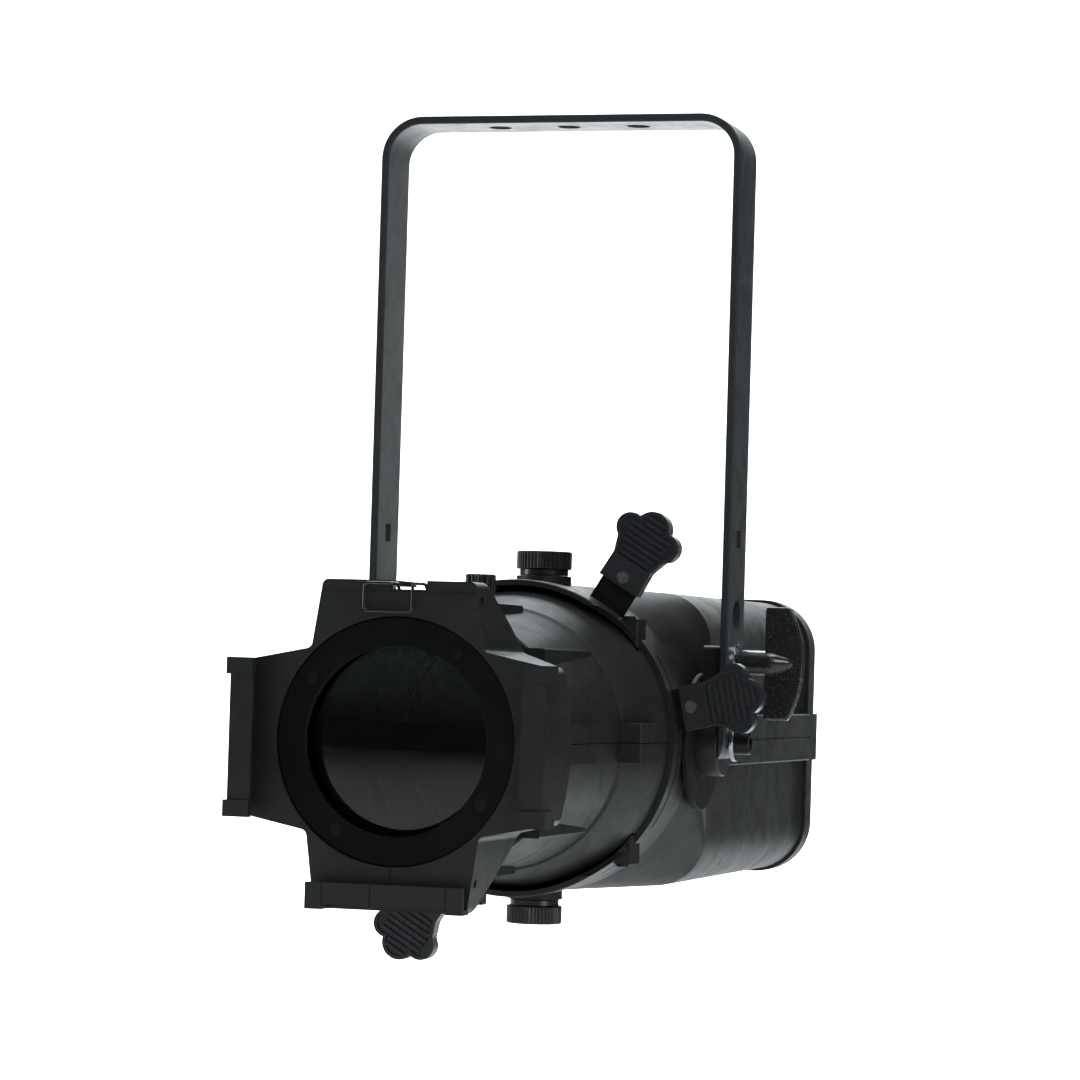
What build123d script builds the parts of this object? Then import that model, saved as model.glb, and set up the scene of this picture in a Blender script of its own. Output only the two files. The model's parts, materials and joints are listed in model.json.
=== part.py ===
from build123d import *
import os
from math import atan2, cos, degrees, hypot, radians, sin, tan

os.makedirs("parts", exist_ok=True)

# Frame: millimetres, +Z up. The origin is the middle of the clamp holes, on the top face of the yoke.
# The optical axis runs along Y, AXIS_Z below the origin, and the light leaves towards -Y.

# ---- yoke ----
BAR_WIDTH = 38.0
BAR_THICK = 4.5
YOKE_WIDTH = 212.0
YOKE_DROP = 352.0
YOKE_CORNER = 24.0
BAR_EDGE = 0.9
CLAMP_PITCH = 41.0
CLAMP_HOLE = 13.0
WINDOW_DIA = 17.5
WINDOW_UP = 71.0
SLOT_WIDE = 9.0
SLOT_TALL = 10.0
SLOT_UP = 114.0
AXIS_Z = -YOKE_DROP
ARM_OUTER = YOKE_WIDTH / 2
ARM_INNER = ARM_OUTER - BAR_THICK

# ---- clearances ----
RUNNING = 0.06
PLAY = 0.3
TUBE_PLAY = 0.5
SLOT_PLAY = 0.6
BLADE_PLAY = 0.15
SEAT_PLAY = 0.1

# ---- tilt pivot ----
PIVOT_SHANK_R = 4.0
PIVOT_THREAD = 14.0
PIVOT_HEAD_R = 6.5
PIVOT_HEAD_LONG = 8.0
PIVOT_SOCKET = 6.0
PIVOT_BOSS_R = 25.0
PIVOT_BOSS_OUT = 86.4
DISC_R = 38.5
DISC_THICK = 3.0
SPACER_R = 19.0
WASHER_R = 10.5
WASHER_THICK = 2.0
DISC_OUT = PIVOT_BOSS_OUT + DISC_THICK

# ---- tilt lock ----
LOCK_UP = 45.0
LOCK_STUD_R = 4.0
LOCK_HUB_R = 7.0
LOCK_HUB_LONG = 33.0
WING_SPAN = 63.0
WING_START = 15.0
WING_DEEP = 22.0
WING_THICK = 5.0
SHOE_HALF_WIDE = 9.0
SHOE_BELOW = 17.0
SHOE_ABOVE = 9.0

# ---- rear housing ----
WALL = 3.0
HOUSING_FRONT = -56.0
THROAT_R = 86.5
CONE_START = -12.0
CONE_END = 40.0
BOX_HALF_WIDTH = 82.0
BOX_HALF_HEIGHT = 84.0
BOX_CORNER = 30.0
COVER_FRONT = 288.0
COVER_BACK = 313.0
COVER_PROUD = 2.0
COVER_EDGE = 7.0
COVER_GROOVE = 2.4
BAND_HALF_HEIGHT = 14.6
BAND_OUT = 86.6
BAND_FRONT = -13.0
SEAM_WIDE = 0.5
SEAM_DEEP = 0.8

# ---- saddles: the tongues of the housing that lap over the barrel ----
SADDLE_FRONT = -77.0
SADDLE_R = 87.3
SADDLE_LIP = 3.2
SADDLE_HALF_ANGLE = 48.0
SADDLE_STRAIGHT = 32.0
SADDLE_BACK_STEP = 12.0
BOSS_BLOCK = 12.0
BOSS_BLOCK_LONG = 18.0
BOSS_BLOCK_Y = -54.0
BOSS_SCREW_Y = -59.0
BOSS_BLOCK_X = 60.0
BOSS_BLOCK_TOP = 67.0
SCREW_R = 2.0
SCREW_HEAD_R = 3.4
SCREW_HEAD_LONG = 1.6

# ---- barrel ----
LIP_Y = -198.0
LIP_R = 66.0
STEP_Y = -106.0
RING_BACK_R = 70.5
STEP_LONG = 1.5
LIP_EDGE = 1.0
FLARE_START_R = 72.0
FLARE_MIDDLE = -84.0
FLARE_MIDDLE_R = 78.2
FLARE_BACK = -58.0
FLARE_R = 83.4
TUBE_R = 61.5
BORE_R = TUBE_R + TUBE_PLAY
KEYWAY_OUT_X = 53.0
KEYWAY_OUT_Z = 49.0
KEYWAY_SIZE = 14.0
KEYWAY_BACK = -110.0
PAD_HALF_HEIGHT = 10.5
FRONT_PAD_OUT = 67.8
FRONT_PAD_BACK = -141.0
REAR_PAD_OUT = 82.6
REAR_PAD_FRONT = -110.0
REAR_PAD_BACK = -74.0
SLIDE_PAD_HALF = 16.0
SLIDE_PAD_TOP = 72.0
SLIDE_PAD_FRONT = -184.0
SLIDE_PAD_BACK = -116.0

# ---- focus travel and its two knobs ----
FOCUS_OUT = 35.0
FOCUS_IN = 7.0
FOCUS_KNOB_Y = -143.0
FOCUS_STEM_R = 3.0
FOCUS_COLLAR_R = 8.4
FOCUS_COLLAR_LONG = 4.2
FOCUS_HEAD_R = 8.2
FOCUS_HEAD_LONG = 11.4
FOCUS_FLUTES = 12
FOCUS_FLUTE_R = 1.1

# ---- housing knobs ----
CLAMP_KNOB_Y = -24.0
CLAMP_BOSS_R = 15.6
CLAMP_BOSS_TOP = 90.4
CLAMP_STEM_R = 5.0
CLAMP_COLLAR_R = 13.8
CLAMP_COLLAR_LONG = 3.4
CLAMP_HEAD_R = 15.6
CLAMP_HEAD_LONG = 10.2
CLAMP_FLUTES = 34
CLAMP_FLUTE_R = 0.95

# ---- lens tube and lenses ----
TUBE_FRONT = -274.5
TUBE_BACK = -112.0
TUBE_WALL = 4.5
FRONT_LENS_R = 52.0
FRONT_LENS_EDGE = 4.0
FRONT_LENS_SAG = 6.0
FRONT_LENS_BACK = -264.0
REAR_LENS_R = 45.0
REAR_LENS_EDGE = 5.0
REAR_LENS_SAG = 6.0
REAR_LENS_BACK = -122.0
LENS_LEDGE = 3.0
TUBE_RIBS = 32
TUBE_RIB_WIDE = 2.2
TUBE_RIB_HIGH = 1.3
TUBE_RIB_FRONT = -218.0
TUBE_RIB_BACK = -208.0

# ---- lens retaining ring ----
RING_R = 62.6
RING_APERTURE_R = 47.5
RING_THICK = 3.0
RING_SCREW_PCD = 109.0
RING_SCREW_ANGLE = 56.0
RING_SCREW_HEAD_R = 3.2

# ---- colour frame holder ----
FRAME_SIZE = 158.75
FRAME_PLAY = 0.8
PLATE_Y = -279.0
PLATE_THICK = 3.5
SKIRT_WALL = 2.6
SKIRT_LONG = 72.0
TAB_HALF_TOP = 40.3
TAB_HALF_ROOT = 45.5
TAB_TOP = 80.7
TAB_ROOT = 46.0
TAB_FILLET = 12.0
TAB_CORNER = 3.5
ARM_TIP_HALF = 38.5
FOOT_BOTTOM = 84.5
CHANNEL_WALL = 2.3
CHANNEL_DEEP = 15.6
LIP_THICK = 2.5
RAIL_INNER = 70.3
RAIL_HALF = 31.5
LUG_HALF = 40.0
LUG_OUT = 84.2
LUG_PROUD = 1.5
TROUGH_HALF = 41.4
TROUGH_TOP = 71.0
TROUGH_DEEP = 10.5
TROUGH_WALL = 2.5
TROUGH_FOOT = 9.0
TROUGH_RISE = 2.6
NOTCH_LEFT = -4.2
NOTCH_RIGHT = 14.6
NOTCH_FLOOR = 76.2
SKIRT_HOLE_R = 2.3
COLLAR_LONG = 16.0
CHANNEL_OUTER = FRAME_SIZE / 2 + FRAME_PLAY + CHANNEL_WALL

# ---- frame clip ----
WIRE_R = 0.85
CLIP_LEFT = -17.4
CLIP_RIGHT = 8.0
CLIP_BOTTOM = 65.0
CLIP_TOP = 79.0
CLIP_FRONT = PLATE_Y - 2.6
CLIP_PIVOT_Y = -270.5
CLIP_PIVOT_Z = 75.0
CLIP_BEND = 2.0
CLIP_LEG = 12.0
CLIP_LEG_RIGHT = 12.6
CLIP_LEG_LEFT = -2.2
CLIP_EAR = 3.0
CLIP_EAR_R = 3.6

# ---- framing shutters ----
BLADE_THICK = 1.0
BLADE_PITCH = 2.5
FIRST_BLADE_Y = -50.0
NECK_WIDE = 22.4
BLADE_WIDE = 58.0
BLADE_LONG = 28.0
BLADE_CUT = 5.0
BLADE_REACH = 86.0
GRIP_BASE_IN = 90.0
GRIP_TRAVEL = 33.0
GRIP_BASE_HALF = 12.6
GRIP_WAIST_HALF = 12.2
GRIP_NECK = 15.0
GRIP_FLARE = 23.0
GRIP_FLARE_HALF = 15.0
LOBE_SIDE_U = 31.0
LOBE_SIDE_V = 11.5
LOBE_SIDE_R = 8.0
LOBE_MID_U = 36.0
LOBE_MID_R = 10.0
LOBE_OUT = LOBE_SIDE_V + LOBE_SIDE_R
GRIP_THICK = 9.0
GRIP_EMBED = 24.0
GRIP_SCREW_U = 5.0
GRIP_RIM = 2.0
GRIP_POCKET = 1.3
RIDGE_PITCH = 3.4
RIDGE_WIDE = 1.7
RIDGE_COUNT = 8
RIDGE_START = 17.0
GUIDE_INNER = 76.5
GUIDE_OUTER = 81.5
GUIDE_SIDE = 2.4
GUIDE_THICK = 6.0
TOP_SWING = 33.0
SIDE_SWING = 24.0
SLIT_MARGIN = 1.5

# name: (order of the blade's plane, rest angle from +X, middle of the swing, half swing, rest pull)
SHUTTERS = {
    "top": (0, 59.0, 90.0, TOP_SWING, 10.0),
    "bottom": (1, 239.0, 270.0, TOP_SWING, 10.0),
    "right": (2, 12.0, 0.0, SIDE_SWING, 0.6),
    "left": (3, 192.0, 180.0, SIDE_SWING, 0.6),
}

# ---- gate ----
GATE_FRONT_Y = -55.4
GATE_BACK_Y = -38.6
GATE_PLATE = 1.5
GATE_APERTURE_R = 34.0
GATE_POST_R = 2.2
GATE_POST_PCD = 158.0
GATE_POST_ANGLE = 40.0

# ---- light engine ----
CONDENSER_R = 40.0
CONDENSER_Y = -20.0
CONDENSER_EDGE = 4.0
CONDENSER_SAG = 9.0
CELL_R = 46.0
CELL_FRONT = -34.0
REFLECTOR_BACK = 56.0
REFLECTOR_SMALL_R = 16.0
REFLECTOR_WALL = 2.0
EMITTER_R = 13.0
EMITTER_PLATE = 74.0
EMITTER_THICK = 3.0
SINK_SIZE = 120.0
SINK_BASE = 8.0
SINK_FINS = 17
SINK_FIN = 2.0
SINK_LONG = 82.0
FAN_SIZE = 120.0
FAN_DEEP = 25.0
FAN_Y = 160.0
FAN_BORE_R = 57.5
FAN_TIP_R = 55.5
FAN_HUB_R = 20.0
FAN_BLADES = 9
FAN_BLADE_THICK = 1.8
FAN_BLADE_DEEP = 16.0
FAN_PITCH = 38.0
FAN_SHAFT_R = 3.0
FAN_STRUT = 5.0
TRAY_HALF_WIDE = 60.0
TRAY_THICK = 2.5
TRAY_FRONT = 50.0
TRAY_BACK = 280.0
TRAY_LEG_R = 5.0
DRIVER_SIZE = (104.0, 70.0, 46.0)
DRIVER_Y = 200.0

# ---- rear panel ----
PANEL_WIDE = 104.0
PANEL_TALL = 44.0
PANEL_THICK = 2.4
PANEL_UP = 30.0
DISPLAY_WIDE = 52.0
DISPLAY_TALL = 22.0
DISPLAY_SHIFT = -18.0
BUTTON_R = 4.2
BUTTON_LONG = 4.4
BUTTON_TRAVEL = 1.2
BUTTON_PITCH = 13.0
BUTTON_SHIFT = 31.0
SOCKET_R = 12.0
SOCKET_PITCH = 36.0
SOCKET_DOWN = -34.0
SOCKET_SHIFT = 22.0
SOCKET_LONG = 22.0
INLET_WIDE = 30.0
INLET_TALL = 24.0
INLET_SHIFT = -42.0
INLET_LONG = 24.0
SOCKET_PROUD = 2.0
VENT_WIDE = 3.0
VENT_PITCH = 7.0
VENT_COUNT = 6
VENT_LONG = 34.0
COVER_SCREW_X = 66.0
COVER_SCREW_Z = 68.0

OPTICAL_AXIS = Axis((0, 0, AXIS_Z), (0, 1, 0))


def across(y):
    """Plane square to the optical axis at station y, seen from the front: local x is X, local y is Z."""
    return Plane(origin=(0, y, AXIS_Z), x_dir=(1, 0, 0), z_dir=(0, -1, 0))


def beside(x):
    """Plane facing +X at station x, centred on the pivot: local x is Y, local y is Z."""
    return Plane(origin=(x, 0, AXIS_Z), x_dir=(0, 1, 0), z_dir=(1, 0, 0))


def above(z):
    """Level plane at height z over the optical axis."""
    return Plane.XY.offset(AXIS_Z + z)


def along(angle, y):
    """Plane of one shutter at station y: local x points outward at angle from +X, the normal faces the front."""
    return Plane(origin=(0, y, AXIS_Z), x_dir=(cos(radians(angle)), 0, sin(radians(angle))), z_dir=(0, -1, 0))


def save(part, name):
    """Label a finished piece and write it to its own file."""
    part.label = name
    export_step(part, f"parts/{name}.step")


def ring(outer, inner, front, back):
    """Round tube about the optical axis between two stations."""
    with BuildPart() as tube:
        with BuildSketch(across(front)):
            Circle(outer)
            Circle(inner, mode=Mode.SUBTRACT)
        extrude(amount=front - back)
    return tube.part


def lens_blank(radius, edge, sag, back):
    """Plano-convex lens about the optical axis, flat at the back and domed towards the front."""
    with BuildPart() as blank:
        with BuildSketch(beside(0)):
            with BuildLine():
                Polyline((back - edge - sag, 0), (back, 0), (back, radius), (back - edge, radius))
                sphere = (radius ** 2 + sag ** 2) / (2 * sag)
                half = degrees(atan2(radius, sphere - sag)) / 2
                middle = (back - edge - sag + sphere * (1 - cos(radians(half))), sphere * sin(radians(half)))
                ThreePointArc((back - edge, radius), middle, (back - edge - sag, 0))
            make_face()
        revolve(axis=OPTICAL_AXIS)
    return blank.part


def half_space(upper, size=900.0):
    """Big block above or below the parting plane of the shells."""
    with BuildPart() as block:
        with BuildSketch(above(0)):
            Rectangle(size, size)
        extrude(amount=size if upper else -size)
    return block.part


# ---------------------------------------------------------------- yoke
def arch(width, top, corner, bottom):
    """Upright outline with two rounded top corners, on the XZ plane."""
    with BuildSketch(Plane.XZ) as outline:
        with Locations((0, (top + bottom) / 2)):
            Rectangle(width, top - bottom)
        fillet(outline.vertices().group_by(Axis.Z)[-1], corner)
    return outline.sketch


arm_end = AXIS_Z - BAR_WIDTH / 2
outer_arch = arch(YOKE_WIDTH, 0, YOKE_CORNER, arm_end)
inner_arch = arch(YOKE_WIDTH - 2 * BAR_THICK, -BAR_THICK, YOKE_CORNER - BAR_THICK, arm_end - BAR_WIDTH)

with BuildPart() as yoke:
    extrude(outer_arch, amount=BAR_WIDTH / 2, both=True)
    extrude(inner_arch, amount=BAR_WIDTH, both=True, mode=Mode.SUBTRACT)
    with BuildSketch(beside(-ARM_OUTER)):
        Circle(BAR_WIDTH / 2)
        with Locations((0, YOKE_DROP / 2)):
            Rectangle(BAR_WIDTH, YOKE_DROP)
    extrude(amount=YOKE_WIDTH, mode=Mode.INTERSECT)
    fillet(yoke.faces().filter_by(Axis.Y).edges(), BAR_EDGE)
    with BuildSketch(Plane.XY):
        with GridLocations(CLAMP_PITCH, 1, 3, 1):
            Circle(CLAMP_HOLE / 2)
    extrude(amount=-BAR_THICK, mode=Mode.SUBTRACT)
    with BuildSketch(beside(-ARM_OUTER)):
        Circle(PIVOT_SHANK_R + RUNNING)
        with Locations((0, LOCK_UP)):
            Circle(LOCK_STUD_R + RUNNING)
        with Locations((0, WINDOW_UP)):
            Circle(WINDOW_DIA / 2)
        with Locations((0, SLOT_UP)):
            Rectangle(SLOT_WIDE, SLOT_TALL)
    extrude(amount=YOKE_WIDTH, mode=Mode.SUBTRACT)
save(yoke.part, "yoke")

# ---------------------------------------------------------------- tilt lock: shoe, washer and wing knob
shoe_in = DISC_OUT + PLAY
stud_tip = shoe_in + 3.0
lock_washer_out = ARM_OUTER + WASHER_THICK
hub_start = lock_washer_out + PLAY

with BuildPart() as lock_shoe:
    with BuildSketch(beside(shoe_in)):
        with Locations((0, LOCK_UP + (SHOE_ABOVE - SHOE_BELOW) / 2)):
            RectangleRounded(2 * SHOE_HALF_WIDE, SHOE_ABOVE + SHOE_BELOW, 2.5)
    extrude(amount=ARM_INNER - shoe_in)
    with BuildSketch(beside(stud_tip - PLAY)):
        with Locations((0, LOCK_UP)):
            Circle(LOCK_STUD_R + PLAY)
    extrude(amount=ARM_INNER, mode=Mode.SUBTRACT)
save(lock_shoe.part, "lock_shoe")

with BuildPart() as lock_washer:
    with BuildSketch(beside(ARM_OUTER)):
        with Locations((0, LOCK_UP)):
            Circle(WASHER_R)
            Circle(LOCK_STUD_R + PLAY, mode=Mode.SUBTRACT)
    extrude(amount=WASHER_THICK)
    chamfer(lock_washer.edges().group_by(Axis.X)[-1], 0.4)
save(lock_washer.part, "lock_washer")

with BuildPart() as lock_knob:
    hub_end = hub_start + LOCK_HUB_LONG
    wing_start = hub_start + WING_START
    wing_end = wing_start + WING_DEEP
    with BuildSketch(Plane(origin=(0, 0, AXIS_Z + LOCK_UP), x_dir=(1, 0, 0), z_dir=(0, -1, 0))):
        with BuildLine():
            Polyline((stud_tip, 0), (stud_tip, LOCK_STUD_R), (hub_start, LOCK_STUD_R),
                     (hub_start, LOCK_HUB_R - 0.8), (hub_start + 0.8, LOCK_HUB_R), (hub_start + 17.0, LOCK_HUB_R))
            Spline((hub_start + 17.0, LOCK_HUB_R), (hub_end - 7.0, LOCK_HUB_R * 0.7), (hub_end, 0),
                   tangents=((1, 0), (0.35, -1)))
            Line((hub_end, 0), (stud_tip, 0))
        make_face()
    revolve(axis=Axis((0, 0, AXIS_Z + LOCK_UP), (1, 0, 0)))
    with BuildSketch(Plane(origin=(0, 0, AXIS_Z + LOCK_UP), x_dir=(1, 0, 0), z_dir=(0, -1, 0))) as wing_face:
        half = WING_SPAN / 2
        shoulder = wing_end - 8.0
        with BuildLine():
            Polyline((shoulder, -half), (wing_start, -half), (wing_start, half), (shoulder, half))
            ThreePointArc((shoulder, half), (wing_end, 0), (shoulder, -half))
        make_face()
        fillet(wing_face.vertices(), 1.6)
    extrude(amount=WING_THICK / 2, both=True)
    rim = lock_knob.faces().filter_by(Axis.Y).sort_by(SortBy.AREA)[-2:]
    fillet(rim.edges().filter_by(lambda e: e.center().X > wing_start - 0.1).filter_by(GeomType.CIRCLE), 1.2)
save(lock_knob.part, "lock_knob")

# ---------------------------------------------------------------- tilt pivot stack, one on each side
def both_sides(build):
    """Join a right-hand pivot piece and its mirror image as two separate solids."""
    right = build()
    return Compound(children=[right, mirror(right, about=Plane.YZ)])


def round_stack(start, long, radius, bore, edge):
    """Washer-like solid on the pivot axis, reaching outward from start."""
    with BuildPart() as piece:
        with BuildSketch(beside(start)):
            Circle(radius)
            Circle(bore, mode=Mode.SUBTRACT)
        extrude(amount=long)
        if edge:
            chamfer(piece.edges().group_by(Axis.X)[-1].sort_by(SortBy.LENGTH)[-1], edge)
    return piece.part


spacer_long = ARM_INNER - PLAY - DISC_OUT
washer_start = ARM_OUTER + PLAY
head_start = washer_start + WASHER_THICK
save(both_sides(lambda: round_stack(PIVOT_BOSS_OUT, DISC_THICK, DISC_R, PIVOT_SHANK_R, 0.8)), "pivot_discs")
save(both_sides(lambda: round_stack(DISC_OUT, spacer_long, SPACER_R, PIVOT_SHANK_R, 0.8)), "pivot_spacers")
save(both_sides(lambda: round_stack(washer_start, WASHER_THICK, WASHER_R, PIVOT_SHANK_R, 0.4)), "pivot_washers")


def pivot_screw():
    """Socket-head cap screw that holds the lamp in one arm of the yoke."""
    with BuildPart() as screw:
        with BuildSketch(beside(PIVOT_BOSS_OUT - PIVOT_THREAD)):
            Circle(PIVOT_SHANK_R)
        extrude(amount=head_start - PIVOT_BOSS_OUT + PIVOT_THREAD)
        with BuildSketch(beside(head_start)):
            Circle(PIVOT_HEAD_R)
        extrude(amount=PIVOT_HEAD_LONG)
        chamfer(screw.edges().group_by(Axis.X)[-1], 0.6)
        with BuildSketch(beside(head_start + PIVOT_HEAD_LONG)):
            RegularPolygon(PIVOT_SOCKET / 2, 6, major_radius=False)
        extrude(amount=-PIVOT_HEAD_LONG / 2, mode=Mode.SUBTRACT)
    return screw.part


save(both_sides(pivot_screw), "pivot_screws")


# ---------------------------------------------------------------- rear housing
def housing_form(inset):
    """Outer form of the rear housing with its skin moved inward by inset: round throat, flare and box."""
    throat = THROAT_R - inset
    wide = 2 * (BOX_HALF_WIDTH - inset)
    tall = 2 * (BOX_HALF_HEIGHT - inset)
    with BuildPart() as form:
        with BuildSketch(across(HOUSING_FRONT)):
            Circle(throat)
        extrude(amount=HOUSING_FRONT - CONE_START)
        with BuildSketch(across(CONE_START)):
            RectangleRounded(2 * throat, 2 * throat, throat - 0.05)
        with BuildSketch(across(CONE_END)):
            RectangleRounded(wide, tall, BOX_CORNER - inset)
        loft()
        with BuildSketch(across(CONE_END)):
            RectangleRounded(wide, tall, BOX_CORNER - inset)
        extrude(amount=CONE_END - COVER_FRONT)
    return form.part


def seam_cut(outer, core):
    """Thin groove along the parting line, SEAM_DEEP into the skin between outer and core."""
    with BuildPart() as slab:
        with BuildSketch(above(0)):
            Rectangle(900, 900)
        extrude(amount=SEAM_WIDE / 2, both=True)
    return (outer & slab.part) - core


def wedge(y, angle, half_angle, thick, reach=130.0):
    """Flat wedge from the optical axis outward, centred on station y, for a blade's slit."""
    spread = reach * tan(radians(half_angle))
    with BuildPart() as cut:
        with BuildSketch(along(angle, y)):
            with BuildLine():
                Polyline((0, 0), (reach, -spread), (reach, spread), close=True)
            make_face()
        extrude(amount=thick / 2, both=True)
    return cut.part


def blade_station(order):
    """Station of one shutter's blade."""
    return FIRST_BLADE_Y + order * BLADE_PITCH


neck_angle = degrees(atan2(NECK_WIDE / 2, GUIDE_OUTER)) + SLIT_MARGIN
slits = [wedge(blade_station(order), middle, swing + neck_angle, BLADE_THICK + 2 * SLOT_PLAY)
         for order, _, middle, swing, _ in SHUTTERS.values()]


def saddle(side):
    """Arched tongue on the top (side 1) or the bottom (side -1) with its screw blocks."""
    reach = 120.0
    spread = reach * tan(radians(SADDLE_HALF_ANGLE))
    shoulder = SADDLE_R * cos(radians(SADDLE_STRAIGHT))
    low = SADDLE_R * cos(radians(SADDLE_HALF_ANGLE)) - 2
    with BuildPart() as tongue:
        with BuildSketch(across(SADDLE_FRONT)):
            Circle(SADDLE_R)
            Circle(SADDLE_R - SADDLE_LIP, mode=Mode.SUBTRACT)
            with BuildLine():
                Polyline((0, 0), (-spread, side * reach), (spread, side * reach), close=True)
            make_face(mode=Mode.INTERSECT)
        extrude(amount=SADDLE_FRONT - HOUSING_FRONT)
        with BuildSketch(beside(-BOX_HALF_WIDTH)) as profile:
            with BuildLine():
                Polyline((SADDLE_FRONT, side * SADDLE_R * 1.1), (SADDLE_FRONT, side * shoulder),
                         (SADDLE_FRONT + SADDLE_BACK_STEP, side * (low + 4)), (SADDLE_FRONT + SADDLE_BACK_STEP, side * low),
                         (HOUSING_FRONT, side * low), (HOUSING_FRONT, side * SADDLE_R * 1.1), close=True)
            make_face()
            fillet(profile.vertices().filter_by(lambda v: abs(abs(v.Z - AXIS_Z) - shoulder) < 0.1), 7.0)
        extrude(amount=2 * BOX_HALF_WIDTH, mode=Mode.INTERSECT)
        fillet(tongue.faces().filter_by(Axis.Y).sort_by(Axis.Y)[0].edges().sort_by(SortBy.LENGTH)[-1], 1.0)
    return tongue.part


def saddle_blocks(side):
    """Two square screw blocks on the shoulders of a saddle."""
    with BuildPart() as blocks:
        for hand in (-1, 1):
            with BuildSketch(above(side * BOSS_BLOCK_TOP)):
                with Locations((hand * BOSS_BLOCK_X, BOSS_BLOCK_Y)):
                    RectangleRounded(BOSS_BLOCK, BOSS_BLOCK_LONG, 1.0)
            extrude(amount=-side * BOSS_BLOCK * 1.6)
    return blocks.part


def screw_bores(side):
    """Clearance for the saddle screws' shanks."""
    with BuildPart() as bores:
        with BuildSketch(above(side * BOSS_BLOCK_TOP)):
            with Locations(*[(hand * BOSS_BLOCK_X, BOSS_SCREW_Y) for hand in (-1, 1)]):
                Circle(SCREW_R)
        extrude(amount=-side * BOSS_BLOCK)
    return bores.part


def pivot_bosses():
    """Round bosses on both flanks, where the pivot discs sit."""
    with BuildPart() as bosses:
        for hand in (-1, 1):
            with BuildSketch(beside(hand * PIVOT_BOSS_OUT)):
                Circle(PIVOT_BOSS_R)
            extrude(amount=-hand * 14.0)
    return bosses.part


def pivot_bores():
    """Bores of the pivot screws and the flat seats of the pivot discs."""
    with BuildPart() as bores:
        for hand in (-1, 1):
            with BuildSketch(beside(hand * PIVOT_BOSS_OUT)):
                Circle(PIVOT_SHANK_R)
            extrude(amount=-hand * (PIVOT_THREAD + 2.0))
            with BuildSketch(beside(hand * PIVOT_BOSS_OUT)):
                Circle(DISC_R + PLAY)
            extrude(amount=hand * DISC_THICK)
    return bores.part


def flank_band(front, back, out):
    """Raised band along both flanks, split by the parting plane."""
    with BuildPart() as band:
        with BuildSketch(across(front)):
            Rectangle(2 * out, 2 * BAND_HALF_HEIGHT)
        extrude(amount=front - back)
        chamfer(band.edges().filter_by(Axis.Y), 0.8)
    return band.part


def clamp_bosses():
    """Upright round bosses under the two large knobs."""
    with BuildPart() as bosses:
        for side in (-1, 1):
            with BuildSketch(above(side * CLAMP_BOSS_TOP)):
                with Locations((0, CLAMP_KNOB_Y)):
                    Circle(CLAMP_BOSS_R)
            extrude(amount=-side * 14.0)
    return bosses.part


def clamp_bores():
    """Bores that the large knobs' stems turn in."""
    with BuildPart() as bores:
        with BuildSketch(above(-CLAMP_BOSS_TOP)):
            with Locations((0, CLAMP_KNOB_Y)):
                Circle(CLAMP_STEM_R + RUNNING)
        extrude(amount=2 * CLAMP_BOSS_TOP)
    return bores.part


skin = housing_form(0)
room = housing_form(WALL)
shell = skin + pivot_bosses() + flank_band(BAND_FRONT, COVER_FRONT, BAND_OUT) + clamp_bosses()
shell = shell + saddle(1) + saddle(-1) + saddle_blocks(1) + saddle_blocks(-1)
with BuildPart() as core:
    with BuildSketch(across(SADDLE_FRONT - 1)):
        Circle(FLARE_R + SEAT_PLAY)
    extrude(amount=SADDLE_FRONT - 1 - HOUSING_FRONT)
shell = shell - core.part - room - pivot_bores() - clamp_bores() - screw_bores(1) - screw_bores(-1)
for slit in slits:
    shell = shell - slit
shell = shell - seam_cut(shell, housing_form(SEAM_DEEP))

housing_upper = shell & half_space(True)
housing_lower = shell & half_space(False)
save(housing_upper, "housing_upper")
save(housing_lower, "housing_lower")

# ---------------------------------------------------------------- rear cover
cover_wide = 2 * (BOX_HALF_WIDTH + COVER_PROUD)
cover_tall = 2 * (BOX_HALF_HEIGHT + COVER_PROUD)
cover_corner = BOX_CORNER + COVER_PROUD
cover_screw_spots = GridLocations(2 * COVER_SCREW_X, 2 * COVER_SCREW_Z, 2, 2).locations
cover_screw_spots = [(spot.position.X, spot.position.Y) for spot in cover_screw_spots]
button_spots = [(PANEL_UP + (row - 0.5) * BUTTON_PITCH, BUTTON_SHIFT + (col - 0.5) * BUTTON_PITCH)
                for row in (0, 1) for col in (0, 1)]
data_spots = [(SOCKET_SHIFT + (k - 0.5) * SOCKET_PITCH, SOCKET_DOWN) for k in (0, 1)]

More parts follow.
